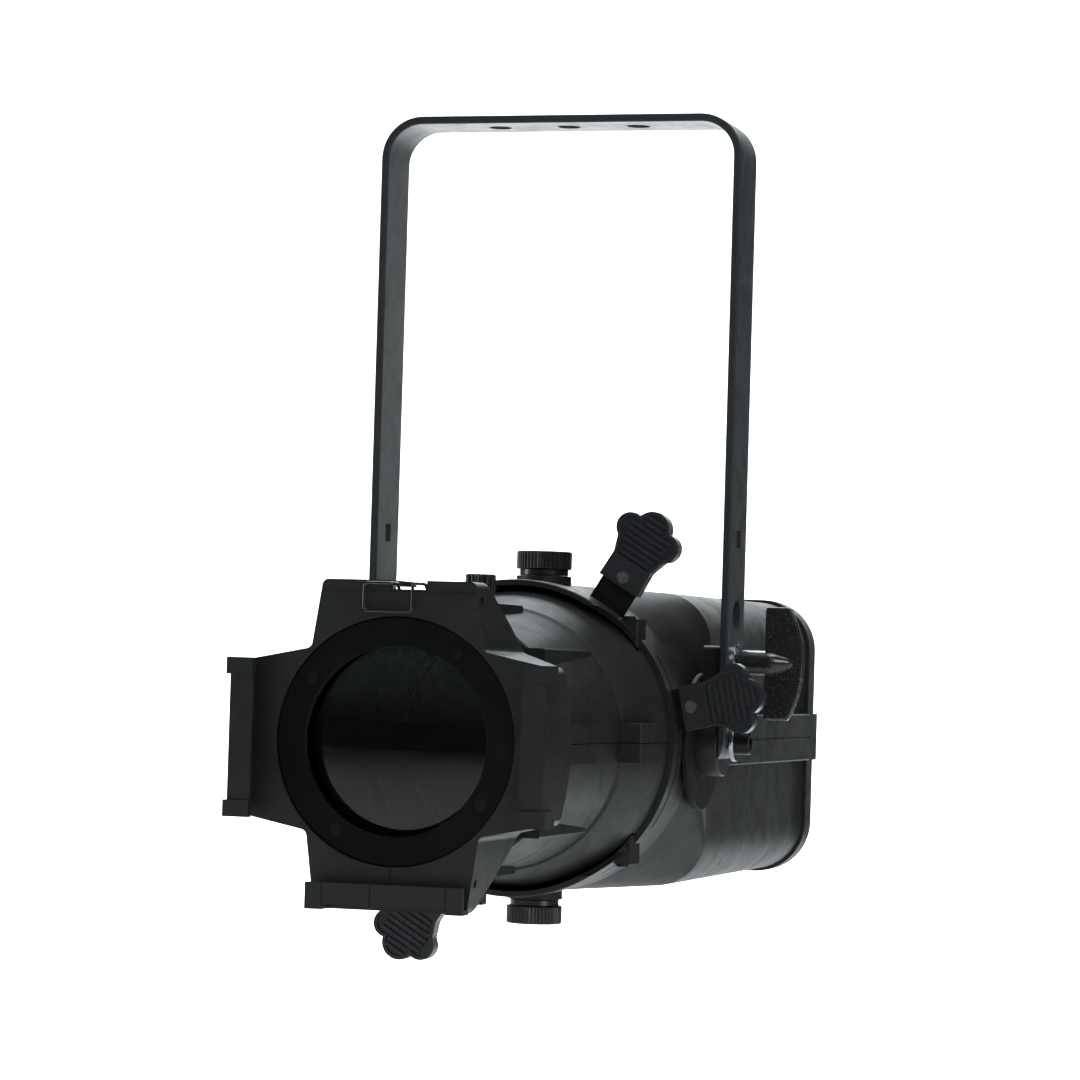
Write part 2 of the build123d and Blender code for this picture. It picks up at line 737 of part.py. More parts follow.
with BuildPart() as rear_cover:
    with BuildSketch(across(COVER_FRONT + COVER_GROOVE)):
        RectangleRounded(cover_wide, cover_tall, cover_corner)
    extrude(amount=COVER_FRONT + COVER_GROOVE - COVER_BACK)
    fillet(rear_cover.faces().sort_by(Axis.Y)[-1].edges(), COVER_EDGE)
    with BuildSketch(across(COVER_FRONT)):
        RectangleRounded(2 * (BOX_HALF_WIDTH - COVER_PROUD), 2 * (BOX_HALF_HEIGHT - COVER_PROUD), BOX_CORNER - COVER_PROUD)
    extrude(amount=-COVER_GROOVE)
    with BuildSketch(across(COVER_FRONT)):
        Rectangle(2 * BAND_OUT, 2 * BAND_HALF_HEIGHT)
    extrude(amount=COVER_FRONT - COVER_BACK + COVER_EDGE)
    with BuildSketch(across(COVER_FRONT)):
        RectangleRounded(2 * (BOX_HALF_WIDTH - WALL), 2 * (BOX_HALF_HEIGHT - WALL), BOX_CORNER - WALL)
    extrude(amount=COVER_FRONT - COVER_BACK + WALL, mode=Mode.SUBTRACT)
    with BuildSketch(across(COVER_BACK)):
        with Locations(*data_spots):
            Circle(SOCKET_R + SEAT_PLAY)
        with Locations((INLET_SHIFT, SOCKET_DOWN)):
            Rectangle(INLET_WIDE + 2 * SEAT_PLAY, INLET_TALL + 2 * SEAT_PLAY)
        with Locations((0, PANEL_UP)):
            Rectangle(PANEL_WIDE - 12, PANEL_TALL - 12)
        with Locations(*cover_screw_spots):
            Circle(SCREW_R)
        for hand in (-1, 1):
            with Locations((hand * (PANEL_WIDE / 2 + 14), 0)):
                with GridLocations(1, VENT_PITCH, 1, VENT_COUNT):
                    Rectangle(16, VENT_WIDE)
    extrude(amount=WALL * 2, mode=Mode.SUBTRACT)
save(rear_cover.part, "rear_cover")

with BuildPart() as cover_screws:
    with BuildSketch(across(COVER_BACK + SCREW_HEAD_LONG)):
        with Locations(*cover_screw_spots):
            Circle(SCREW_HEAD_R)
    extrude(amount=SCREW_HEAD_LONG)
    with BuildSketch(across(COVER_BACK)):
        with Locations(*cover_screw_spots):
            Circle(SCREW_R)
    extrude(amount=WALL + 8)
    with BuildSketch(across(COVER_BACK + SCREW_HEAD_LONG)):
        with Locations(*cover_screw_spots):
            Rectangle(SCREW_R * 1.8, 0.8)
            Rectangle(0.8, SCREW_R * 1.8)
    extrude(amount=SCREW_HEAD_LONG * 0.6, mode=Mode.SUBTRACT)
save(cover_screws.part, "cover_screws")

with BuildPart() as control_panel:
    with BuildSketch(across(COVER_BACK + PANEL_THICK)):
        with Locations((0, PANEL_UP)):
            RectangleRounded(PANEL_WIDE, PANEL_TALL, 4)
        with Locations((DISPLAY_SHIFT, PANEL_UP)):
            Rectangle(DISPLAY_WIDE, DISPLAY_TALL, mode=Mode.SUBTRACT)
        with Locations(*[(x, z) for z, x in button_spots]):
            Circle(BUTTON_R + PLAY, mode=Mode.SUBTRACT)
    extrude(amount=PANEL_THICK)
    chamfer(control_panel.faces().sort_by(Axis.Y)[-1].outer_wire().edges(), 0.6)
save(control_panel.part, "control_panel")

with BuildPart() as display:
    with BuildSketch(across(COVER_BACK + PANEL_THICK - 0.6)):
        with Locations((DISPLAY_SHIFT, PANEL_UP)):
            Rectangle(DISPLAY_WIDE, DISPLAY_TALL)
    extrude(amount=4.0)
save(display.part, "display")

for index, (z, x) in enumerate(button_spots):
    with BuildPart() as button:
        with BuildSketch(across(COVER_BACK + PANEL_THICK + 1.6)):
            with Locations((x, z)):
                Circle(BUTTON_R)
        extrude(amount=BUTTON_LONG)
        fillet(button.edges().sort_by(Axis.Y)[-1], 0.7)
    save(button.part, f"menu_button_{index + 1}")

with BuildPart() as data_sockets:
    with BuildSketch(across(COVER_BACK + SOCKET_PROUD)):
        with Locations(*data_spots):
            Circle(SOCKET_R)
    extrude(amount=SOCKET_LONG)
    with BuildSketch(across(COVER_BACK + SOCKET_PROUD)):
        with Locations(*data_spots):
            Circle(SOCKET_R - 2.5)
            Circle(SOCKET_R - 5.0, mode=Mode.SUBTRACT)
    extrude(amount=SOCKET_LONG / 2, mode=Mode.SUBTRACT)
save(data_sockets.part, "data_sockets")

with BuildPart() as power_inlet:
    with BuildSketch(across(COVER_BACK + SOCKET_PROUD)):
        with Locations((INLET_SHIFT, SOCKET_DOWN)):
            Rectangle(INLET_WIDE, INLET_TALL)
    extrude(amount=INLET_LONG)
    with BuildSketch(across(COVER_BACK + SOCKET_PROUD)):
        with Locations((INLET_SHIFT, SOCKET_DOWN)):
            Rectangle(INLET_WIDE - 5, INLET_TALL - 6)
    extrude(amount=INLET_LONG * 0.7, mode=Mode.SUBTRACT)
    with BuildSketch(across(COVER_BACK - INLET_LONG * 0.5)):
        with Locations((INLET_SHIFT, SOCKET_DOWN)):
            with GridLocations(7, 1, 3, 1):
                Rectangle(2, 4)
    extrude(amount=-INLET_LONG * 0.4)
save(power_inlet.part, "power_inlet")

# ---------------------------------------------------------------- housing knobs and saddle screws


def fluted(radius, long, flutes, flute_r, base, y, side, edge):
    """Round knob head standing on height base, with flutes all round; side -1 hangs it from below."""
    with BuildPart() as head:
        with BuildSketch(above(side * base)):
            with Locations((0, y)):
                Circle(radius)
        extrude(amount=side * long)
        chamfer(head.edges().filter_by(GeomType.CIRCLE), edge)
        with BuildSketch(above(side * base)):
            with Locations((0, y)):
                with PolarLocations(radius + flute_r * 0.35, flutes):
                    Circle(flute_r)
        extrude(amount=side * long, mode=Mode.SUBTRACT)
    return head.part


def stem(radius, low, high, y, side):
    """Plain upright cylinder between two heights."""
    with BuildPart() as rod:
        with BuildSketch(above(side * low)):
            with Locations((0, y)):
                Circle(radius)
        extrude(amount=side * (high - low))
    return rod.part


clamp_collar_base = CLAMP_BOSS_TOP + PLAY
clamp_head_base = clamp_collar_base + CLAMP_COLLAR_LONG
for name, side in (("top", 1), ("bottom", -1)):
    knob = fluted(CLAMP_HEAD_R, CLAMP_HEAD_LONG, CLAMP_FLUTES, CLAMP_FLUTE_R, clamp_head_base, CLAMP_KNOB_Y, side, 0.9)
    knob = knob + stem(CLAMP_COLLAR_R, clamp_collar_base, clamp_head_base, CLAMP_KNOB_Y, side)
    knob = knob + stem(CLAMP_STEM_R, CLAMP_BOSS_TOP - 13.0, clamp_collar_base, CLAMP_KNOB_Y, side)
    save(knob, f"clamp_knob_{name}")

with BuildPart() as saddle_screws:
    for side in (-1, 1):
        spots = [(hand * BOSS_BLOCK_X, BOSS_SCREW_Y) for hand in (-1, 1)]
        with BuildSketch(above(side * BOSS_BLOCK_TOP)):
            with Locations(*spots):
                Circle(SCREW_HEAD_R)
        extrude(amount=side * SCREW_HEAD_LONG)
        with BuildSketch(above(side * BOSS_BLOCK_TOP)):
            with Locations(*spots):
                Circle(SCREW_R)
        extrude(amount=-side * BOSS_BLOCK * 0.6)
        with BuildSketch(above(side * (BOSS_BLOCK_TOP + SCREW_HEAD_LONG))):
            with Locations(*spots):
                Rectangle(SCREW_R * 1.8, 0.8)
                Rectangle(0.8, SCREW_R * 1.8)
        extrude(amount=-side * SCREW_HEAD_LONG * 0.6, mode=Mode.SUBTRACT)
save(saddle_screws.part, "saddle_screws")

# ---------------------------------------------------------------- barrel


def barrel_form(inset):
    """Turned outer form of the barrel with its skin moved inward by inset, without the bore."""
    with BuildPart() as form:
        with BuildSketch(beside(0)):
            with BuildLine():
                start = (STEP_Y + STEP_LONG, FLARE_START_R - inset)
                end = (FLARE_BACK, FLARE_R - inset)
                Polyline((LIP_Y, 0), (LIP_Y, LIP_R - LIP_EDGE - inset), (LIP_Y + LIP_EDGE, LIP_R - inset),
                         (STEP_Y, RING_BACK_R - inset), start)
                ThreePointArc(start, (FLARE_MIDDLE, FLARE_MIDDLE_R - inset), end)
                Polyline(end, (HOUSING_FRONT, FLARE_R - inset), (HOUSING_FRONT, 0), (LIP_Y, 0))
            make_face()
        revolve(axis=OPTICAL_AXIS)
    return form.part


def keyways():
    """Square-cornered ridges along the front ring of the barrel, one in each quarter."""
    with BuildPart() as ridges:
        with BuildSketch(across(LIP_Y)):
            for x in (-1, 1):
                for z in (-1, 1):
                    with Locations((x * (KEYWAY_OUT_X - KEYWAY_SIZE / 2), z * (KEYWAY_OUT_Z - KEYWAY_SIZE / 2))):
                        RectangleRounded(KEYWAY_SIZE, KEYWAY_SIZE, 1.2)
        extrude(amount=LIP_Y - KEYWAY_BACK)
    return ridges.part


def flank_pads(front, back, out):
    """Raised pads over the parting line on both flanks of the barrel."""
    with BuildPart() as pads:
        with BuildSketch(across(front)):
            Rectangle(2 * out, 2 * PAD_HALF_HEIGHT)
        extrude(amount=front - back)
        fillet(pads.edges().filter_by(Axis.Z), 1.2)
    return pads.part


def slide_pads():
    """Flat pads on top and bottom, under the two small knobs."""
    with BuildPart() as pads:
        with BuildSketch(across(SLIDE_PAD_FRONT)):
            Rectangle(2 * SLIDE_PAD_HALF, 2 * SLIDE_PAD_TOP)
        extrude(amount=SLIDE_PAD_FRONT - SLIDE_PAD_BACK)
        fillet(pads.edges().filter_by(Axis.X), 2.0)
    return pads.part


def slide_slots():
    """Long slots through both slide pads for the stems of the small knobs."""
    front = FOCUS_KNOB_Y - FOCUS_OUT
    back = FOCUS_KNOB_Y + FOCUS_IN
    width = 2 * (FOCUS_STEM_R + PLAY)
    with BuildPart() as cut:
        with BuildSketch(above(-2 * SLIDE_PAD_TOP)):
            with Locations((0, (front + back) / 2)):
                SlotCenterToCenter(back - front, width, rotation=90)
        extrude(amount=4 * SLIDE_PAD_TOP)
    return cut.part


with BuildPart() as barrel_room:
    with BuildSketch(beside(0)):
        with BuildLine():
            Polyline((LIP_Y - 1, 0), (LIP_Y - 1, BORE_R + 2.4), (LIP_Y + 1.4, BORE_R), (STEP_Y - 2, BORE_R),
                     (STEP_Y + 2, FLARE_START_R - WALL), (FLARE_MIDDLE, FLARE_MIDDLE_R - WALL),
                     (FLARE_BACK, FLARE_R - WALL), (HOUSING_FRONT + 1, FLARE_R - WALL),
                     (HOUSING_FRONT + 1, 0), close=True)
        make_face()
    revolve(axis=OPTICAL_AXIS)

barrel = barrel_form(0) + keyways() + flank_pads(LIP_Y + LIP_EDGE, FRONT_PAD_BACK, FRONT_PAD_OUT)
barrel = barrel + flank_pads(REAR_PAD_FRONT, REAR_PAD_BACK, REAR_PAD_OUT) + slide_pads()
barrel = barrel - barrel_room.part - slide_slots()
with BuildPart() as block_room:
    for x in (-1, 1):
        for z in (-1, 1):
            with BuildSketch(above(z * (BOSS_BLOCK_TOP + 1))):
                with Locations((x * BOSS_BLOCK_X, BOSS_BLOCK_Y)):
                    Rectangle(BOSS_BLOCK + 0.2, BOSS_BLOCK_LONG + 0.2)
            extrude(amount=-z * (BOSS_BLOCK * 1.6 + 1.2))
barrel = barrel - block_room.part
barrel = barrel - seam_cut(barrel, barrel_form(SEAM_DEEP))
barrel_upper = barrel & half_space(True)
barrel_lower = barrel & half_space(False)
save(barrel_upper, "barrel_upper")
save(barrel_lower, "barrel_lower")

# ---------------------------------------------------------------- lens tube, lenses and retaining ring
with BuildPart() as lens_tube:
    with BuildSketch(beside(0)):
        inner = TUBE_R - TUBE_WALL
        front_seat = FRONT_LENS_R + SEAT_PLAY
        rear_seat = REAR_LENS_R + SEAT_PLAY
        web_front = REAR_LENS_BACK - REAR_LENS_EDGE - 2
        with BuildLine():
            Polyline((TUBE_FRONT, front_seat), (FRONT_LENS_BACK, front_seat), (FRONT_LENS_BACK, front_seat - LENS_LEDGE),
                     (FRONT_LENS_BACK + LENS_LEDGE, front_seat - LENS_LEDGE), (FRONT_LENS_BACK + 3 * LENS_LEDGE, inner),
                     (web_front, inner), (web_front, rear_seat), (REAR_LENS_BACK, rear_seat),
                     (REAR_LENS_BACK, rear_seat - LENS_LEDGE), (REAR_LENS_BACK + LENS_LEDGE, rear_seat - LENS_LEDGE),
                     (REAR_LENS_BACK + LENS_LEDGE, inner), (TUBE_BACK, inner), (TUBE_BACK, TUBE_R),
                     (TUBE_FRONT, TUBE_R), close=True)
        make_face()
    revolve(axis=OPTICAL_AXIS)
    with BuildSketch(across(TUBE_RIB_FRONT)):
        with PolarLocations(TUBE_R + TUBE_RIB_HIGH / 2 - 0.5, TUBE_RIBS):
            Rectangle(TUBE_RIB_HIGH + 1, TUBE_RIB_WIDE)
    extrude(amount=TUBE_RIB_FRONT - TUBE_RIB_BACK)
    with BuildSketch(above(-TUBE_R - 1)):
        with Locations((0, FOCUS_KNOB_Y)):
            Circle(FOCUS_STEM_R + RUNNING)
    extrude(amount=2 * TUBE_R + 2, mode=Mode.SUBTRACT)
    with BuildSketch(across(TUBE_FRONT)):
        with PolarLocations(RING_SCREW_PCD / 2, 4, start_angle=RING_SCREW_ANGLE):
            Circle(SCREW_R)
    extrude(amount=-8, mode=Mode.SUBTRACT)
save(lens_tube.part, "lens_tube")
save(lens_blank(FRONT_LENS_R, FRONT_LENS_EDGE, FRONT_LENS_SAG, FRONT_LENS_BACK), "front_lens")
save(lens_blank(REAR_LENS_R, REAR_LENS_EDGE, REAR_LENS_SAG, REAR_LENS_BACK), "rear_lens")

with BuildPart() as lens_ring:
    with BuildSketch(across(TUBE_FRONT)):
        Circle(RING_R)
        Circle(RING_APERTURE_R, mode=Mode.SUBTRACT)
        with PolarLocations(RING_SCREW_PCD / 2, 4, start_angle=RING_SCREW_ANGLE):
            Circle(SCREW_R, mode=Mode.SUBTRACT)
    extrude(amount=RING_THICK)
    with BuildSketch(across(TUBE_FRONT - RING_THICK)):
        with PolarLocations(RING_SCREW_PCD / 2, 4, start_angle=RING_SCREW_ANGLE):
            Circle(RING_SCREW_HEAD_R + SEAT_PLAY)
    extrude(amount=-SCREW_HEAD_LONG, mode=Mode.SUBTRACT)
    front_face = lens_ring.faces().sort_by(Axis.Y)[0]
    chamfer(front_face.edges().sort_by(SortBy.LENGTH)[-2:], 0.6)
save(lens_ring.part, "lens_ring")

with BuildPart() as ring_screws:
    with BuildSketch(across(TUBE_FRONT - RING_THICK + SCREW_HEAD_LONG)):
        with PolarLocations(RING_SCREW_PCD / 2, 4, start_angle=RING_SCREW_ANGLE):
            Circle(RING_SCREW_HEAD_R)
    extrude(amount=SCREW_HEAD_LONG - 0.3)
    with BuildSketch(across(TUBE_FRONT - RING_THICK + SCREW_HEAD_LONG)):
        with PolarLocations(RING_SCREW_PCD / 2, 4, start_angle=RING_SCREW_ANGLE):
            Circle(SCREW_R)
    extrude(amount=-8)
save(ring_screws.part, "ring_screws")

# ---------------------------------------------------------------- colour frame holder


def cross_outline(inset):
    """Cross-shaped outline of the holder with hollow corners, every side moved inward by inset."""
    top = TAB_TOP - inset
    foot = FOOT_BOTTOM - inset
    tip = CHANNEL_OUTER - inset
    quarter = [(TAB_HALF_TOP - inset, None), (TAB_HALF_ROOT - inset, TAB_ROOT - inset), (tip, ARM_TIP_HALF - inset)]
    points = []
    for x, z in ((1, 1), (1, -1), (-1, -1), (-1, 1)):
        end = top if z > 0 else foot
        corner = [(x * quarter[0][0], z * end), (x * quarter[1][0], z * quarter[1][1]), (x * tip, z * quarter[2][1])]
        points += corner if x * z > 0 else corner[::-1]
    with BuildSketch(across(PLATE_Y)) as outline:
        with BuildLine():
            Polyline(*points, close=True)
        make_face()
        roots = outline.vertices().filter_by(lambda v: abs(abs(v.Z - AXIS_Z) - quarter[1][1]) < 0.1)
        fillet(roots.filter_by(lambda v: abs(abs(v.X) - quarter[1][0]) < 0.1), TAB_FILLET + inset)
        fillet(outline.vertices().filter_by(lambda v: v.Z > AXIS_Z + top - 0.1), TAB_CORNER)
    return outline.sketch


def skirt_cone(front_r, back_r):
    """Cone about the optical axis that trims the back of the skirt."""
    with BuildPart() as cone:
        with BuildSketch(beside(0)):
            with BuildLine():
                Polyline((PLATE_Y - 1, 0), (PLATE_Y - 1, front_r), (PLATE_Y + PLATE_THICK + 1, front_r),
                         (PLATE_Y + SKIRT_LONG, back_r), (PLATE_Y + SKIRT_LONG, 0), close=True)
            make_face()
        revolve(axis=OPTICAL_AXIS)
    return cone.part


tab_corner_r = hypot(TAB_HALF_TOP, TAB_TOP)
outline_full = cross_outline(0)
outline_room = cross_outline(SKIRT_WALL)
with BuildPart() as skirt:
    extrude(outline_full, amount=-SKIRT_LONG)
    extrude(outline_room.moved(Location((0, PLATE_THICK, 0))), amount=-SKIRT_LONG, mode=Mode.SUBTRACT)
skirt_part = skirt.part & skirt_cone(tab_corner_r + 6.0, RING_R + 1.0)

with BuildPart() as rails:
    for hand in (-1, 1):
        with BuildSketch(across(PLATE_Y)):
            with Locations((hand * (CHANNEL_OUTER - CHANNEL_WALL / 2), 0)):
                Rectangle(CHANNEL_WALL, 2 * LUG_HALF)
        extrude(amount=CHANNEL_DEEP)
        with BuildSketch(across(PLATE_Y - CHANNEL_DEEP)):
            with Locations((hand * (RAIL_INNER + CHANNEL_OUTER) / 2, 0)):
                Rectangle(CHANNEL_OUTER - RAIL_INNER, 2 * LUG_HALF)
        extrude(amount=-LIP_THICK)
        for side in (-1, 1):
            with BuildSketch(across(PLATE_Y - CHANNEL_DEEP - LUG_PROUD)):
                with Locations((hand * (RAIL_INNER + LUG_OUT) / 2, side * (LUG_HALF + RAIL_HALF) / 2)):
                    Rectangle(LUG_OUT - RAIL_INNER, LUG_HALF - RAIL_HALF)
            extrude(amount=-LIP_THICK - LUG_PROUD)
            with BuildSketch(across(PLATE_Y)):
                with Locations((hand * (CHANNEL_OUTER - CHANNEL_WALL + LUG_OUT) / 2, side * (LUG_HALF + RAIL_HALF) / 2)):
                    Rectangle(LUG_OUT - CHANNEL_OUTER + CHANNEL_WALL, LUG_HALF - RAIL_HALF)
            extrude(amount=CHANNEL_DEEP)

with BuildPart() as trough:
    with BuildSketch(beside(-TROUGH_HALF)):
        with BuildLine():
            front = PLATE_Y - TROUGH_DEEP
            Polyline((PLATE_Y, -FOOT_BOTTOM), (front, -FOOT_BOTTOM), (front, -TROUGH_TOP),
                     (front + TROUGH_WALL, -TROUGH_TOP), (front + TROUGH_WALL, -FOOT_BOTTOM + TROUGH_WALL),
                     (PLATE_Y, -FOOT_BOTTOM + TROUGH_WALL), close=True)
        make_face()
    extrude(amount=2 * TROUGH_HALF)
    with BuildSketch(across(PLATE_Y)):
        with Locations((0, -FOOT_BOTTOM)):
            Rectangle(2 * (TROUGH_HALF - TROUGH_FOOT), 2 * TROUGH_RISE)
    extrude(amount=TROUGH_DEEP, mode=Mode.SUBTRACT)
    with BuildSketch(across(PLATE_Y - TROUGH_DEEP)):
        for x in (-1, 1):
            with Locations((x * (TROUGH_HALF - TROUGH_FOOT), -FOOT_BOTTOM / 2 - TROUGH_TOP / 2)):
                Rectangle(0.5, FOOT_BOTTOM)
        with Locations((-7, -FOOT_BOTTOM)):
            Rectangle(0.7, FOOT_BOTTOM)
    extrude(amount=-0.6, mode=Mode.SUBTRACT)

collar_back = PLATE_Y + PLATE_THICK + COLLAR_LONG
holder = skirt_part + rails.part + trough.part
holder = holder + ring(TUBE_R + SKIRT_WALL, TUBE_R, PLATE_Y + PLATE_THICK - 0.5, collar_back)
with BuildPart() as holder_cuts:
    with BuildSketch(across(PLATE_Y - 1)):
        Circle(RING_R + SEAT_PLAY)
    extrude(amount=PLATE_Y - 1 - TUBE_FRONT)
    with BuildSketch(across(TUBE_FRONT)):
        Circle(TUBE_R)
    extrude(amount=TUBE_FRONT - collar_back)
    with BuildSketch(across(collar_back)):
        Circle(TUBE_R + TUBE_RIB_HIGH + SEAT_PLAY)
    extrude(amount=-SKIRT_LONG)
    with BuildSketch(across(PLATE_Y - 1)):
        with Locations(((NOTCH_LEFT + NOTCH_RIGHT) / 2, (NOTCH_FLOOR + TAB_TOP + 5) / 2)):
            Rectangle(NOTCH_RIGHT - NOTCH_LEFT, TAB_TOP + 5 - NOTCH_FLOOR)
    extrude(amount=-SKIRT_LONG)
    with BuildSketch(across(PLATE_Y - 1)):
        with Locations((0, TAB_TOP - 5.6)):
            Rectangle(2 * TAB_HALF_ROOT, 0.7)
        with Locations((0, -(RING_R + TROUGH_TOP) / 2)):
            Rectangle(0.8, TROUGH_TOP - RING_R + 1)
    extrude(amount=-1.4)
    with BuildSketch(beside(-TAB_HALF_ROOT - 5)):
        with Locations((PLATE_Y + 6.5, TAB_TOP - 9.5), (PLATE_Y + 6.5, -TROUGH_TOP + 1.5)):
            Circle(SKIRT_HOLE_R)
    extrude(amount=2 * TAB_HALF_ROOT + 10)
holder = holder - holder_cuts.part
with BuildPart() as clip_ears:
    for x, hand in ((CLIP_LEG_LEFT - CLIP_LEG - 1, 1), (CLIP_LEG_RIGHT + CLIP_LEG + 1, -1)):
        with BuildSketch(beside(x)):
            with Locations((CLIP_PIVOT_Y, CLIP_PIVOT_Z)):
                Circle(CLIP_EAR_R)
            with Locations((CLIP_PIVOT_Y - 3.5, CLIP_PIVOT_Z)):
                Rectangle(7, 2 * CLIP_EAR_R)
            with Locations((CLIP_PIVOT_Y, CLIP_PIVOT_Z)):
                Circle(WIRE_R + RUNNING, mode=Mode.SUBTRACT)
        extrude(amount=hand * CLIP_EAR)
holder = holder + clip_ears.part
save(holder, "colour_frame_holder")

# ---------------------------------------------------------------- frame clip
with BuildPart() as frame_clip:
    tail = CLIP_LEG + 0.5
    with BuildLine():
        wire = FilletPolyline(
            (CLIP_LEG_LEFT - tail, CLIP_PIVOT_Y, AXIS_Z + CLIP_PIVOT_Z),
            (CLIP_LEG_LEFT, CLIP_PIVOT_Y, AXIS_Z + CLIP_PIVOT_Z),
            (CLIP_LEG_LEFT, PLATE_Y + PLATE_THICK, AXIS_Z + CLIP_TOP),
            (CLIP_LEG_LEFT, CLIP_FRONT, AXIS_Z + CLIP_TOP),
            (CLIP_LEFT, CLIP_FRONT, AXIS_Z + CLIP_TOP),
            (CLIP_LEFT, CLIP_FRONT, AXIS_Z + CLIP_BOTTOM),
            (CLIP_RIGHT, CLIP_FRONT, AXIS_Z + CLIP_BOTTOM),
            (CLIP_RIGHT, CLIP_FRONT, AXIS_Z + CLIP_TOP),
            (CLIP_LEG_RIGHT, CLIP_FRONT, AXIS_Z + CLIP_TOP),
            (CLIP_LEG_RIGHT, PLATE_Y + PLATE_THICK, AXIS_Z + CLIP_TOP),
            (CLIP_LEG_RIGHT, CLIP_PIVOT_Y, AXIS_Z + CLIP_PIVOT_Z),
            (CLIP_LEG_RIGHT + tail, CLIP_PIVOT_Y, AXIS_Z + CLIP_PIVOT_Z),
            radius=CLIP_BEND)
    with BuildSketch(Plane(origin=wire @ 0, z_dir=wire % 0)):
        Circle(WIRE_R)
    sweep()
save(frame_clip.part, "frame_clip")

# ---------------------------------------------------------------- focus knobs
focus_collar_base = SLIDE_PAD_TOP + PLAY
focus_head_base = focus_collar_base + FOCUS_COLLAR_LONG
for name, side in (("top", 1), ("bottom", -1)):
    knob = fluted(FOCUS_HEAD_R, FOCUS_HEAD_LONG, FOCUS_FLUTES, FOCUS_FLUTE_R, focus_head_base, FOCUS_KNOB_Y, side, 0.8)
    knob = knob + stem(FOCUS_COLLAR_R, focus_collar_base, focus_head_base, FOCUS_KNOB_Y, side)
    knob = knob + stem(FOCUS_STEM_R, TUBE_R - TUBE_WALL, focus_collar_base, FOCUS_KNOB_Y, side)
    save(knob, f"focus_knob_{name}")

# ---------------------------------------------------------------- gate plates
post_angles = [GATE_POST_ANGLE, 180 - GATE_POST_ANGLE, 180 + GATE_POST_ANGLE, 360 - GATE_POST_ANGLE]
post_spots = [(GATE_POST_PCD / 2 * cos(radians(a)), GATE_POST_PCD / 2 * sin(radians(a))) for a in post_angles]
gate_r = THROAT_R - WALL
with BuildPart() as gate_front_plate:
    with BuildSketch(across(GATE_FRONT_Y)):
        Circle(gate_r)
        Circle(GATE_APERTURE_R, mode=Mode.SUBTRACT)
    extrude(amount=-GATE_PLATE)
    with BuildSketch(across(GATE_FRONT_Y + GATE_PLATE)):
        with Locations(*post_spots):
            Circle(GATE_POST_R)
    extrude(amount=GATE_FRONT_Y + GATE_PLATE - GATE_BACK_Y)
gate_front = gate_front_plate.part - block_room.part
save(gate_front, "gate_front_plate")
with BuildPart() as gate_rear_plate:
    with BuildSketch(across(GATE_BACK_Y)):
        Circle(gate_r)
        Circle(GATE_APERTURE_R, mode=Mode.SUBTRACT)
    extrude(amount=-GATE_PLATE)
gate_rear = gate_rear_plate.part - block_room.part
save(gate_rear, "gate_rear_plate")

# ---------------------------------------------------------------- framing shutters
def grip_outline(plane, base, inset, start=0.0):
    """Three-lobed outline of a shutter grip, moved inward by inset, from start on; base is its inner edge."""
    shape = [(0, GRIP_BASE_HALF), (GRIP_NECK, GRIP_WAIST_HALF), (GRIP_FLARE, GRIP_FLARE_HALF),
             (LOBE_SIDE_U, LOBE_OUT)]
    side = [(base + u, v - inset) for u, v in shape if u >= start]
    mirrored = [(u, -v) for u, v in side]
    with BuildSketch(plane) as outline:
        with BuildLine():
            Polyline(*side, (base + LOBE_MID_U, 0), *mirrored[::-1], close=True)
        make_face()
        with Locations((base + LOBE_SIDE_U, LOBE_SIDE_V), (base + LOBE_SIDE_U, -LOBE_SIDE_V)):
            Circle(LOBE_SIDE_R - inset)
        with Locations((base + LOBE_MID_U, 0)):
            Circle(LOBE_MID_R - inset)
    return outline.sketch


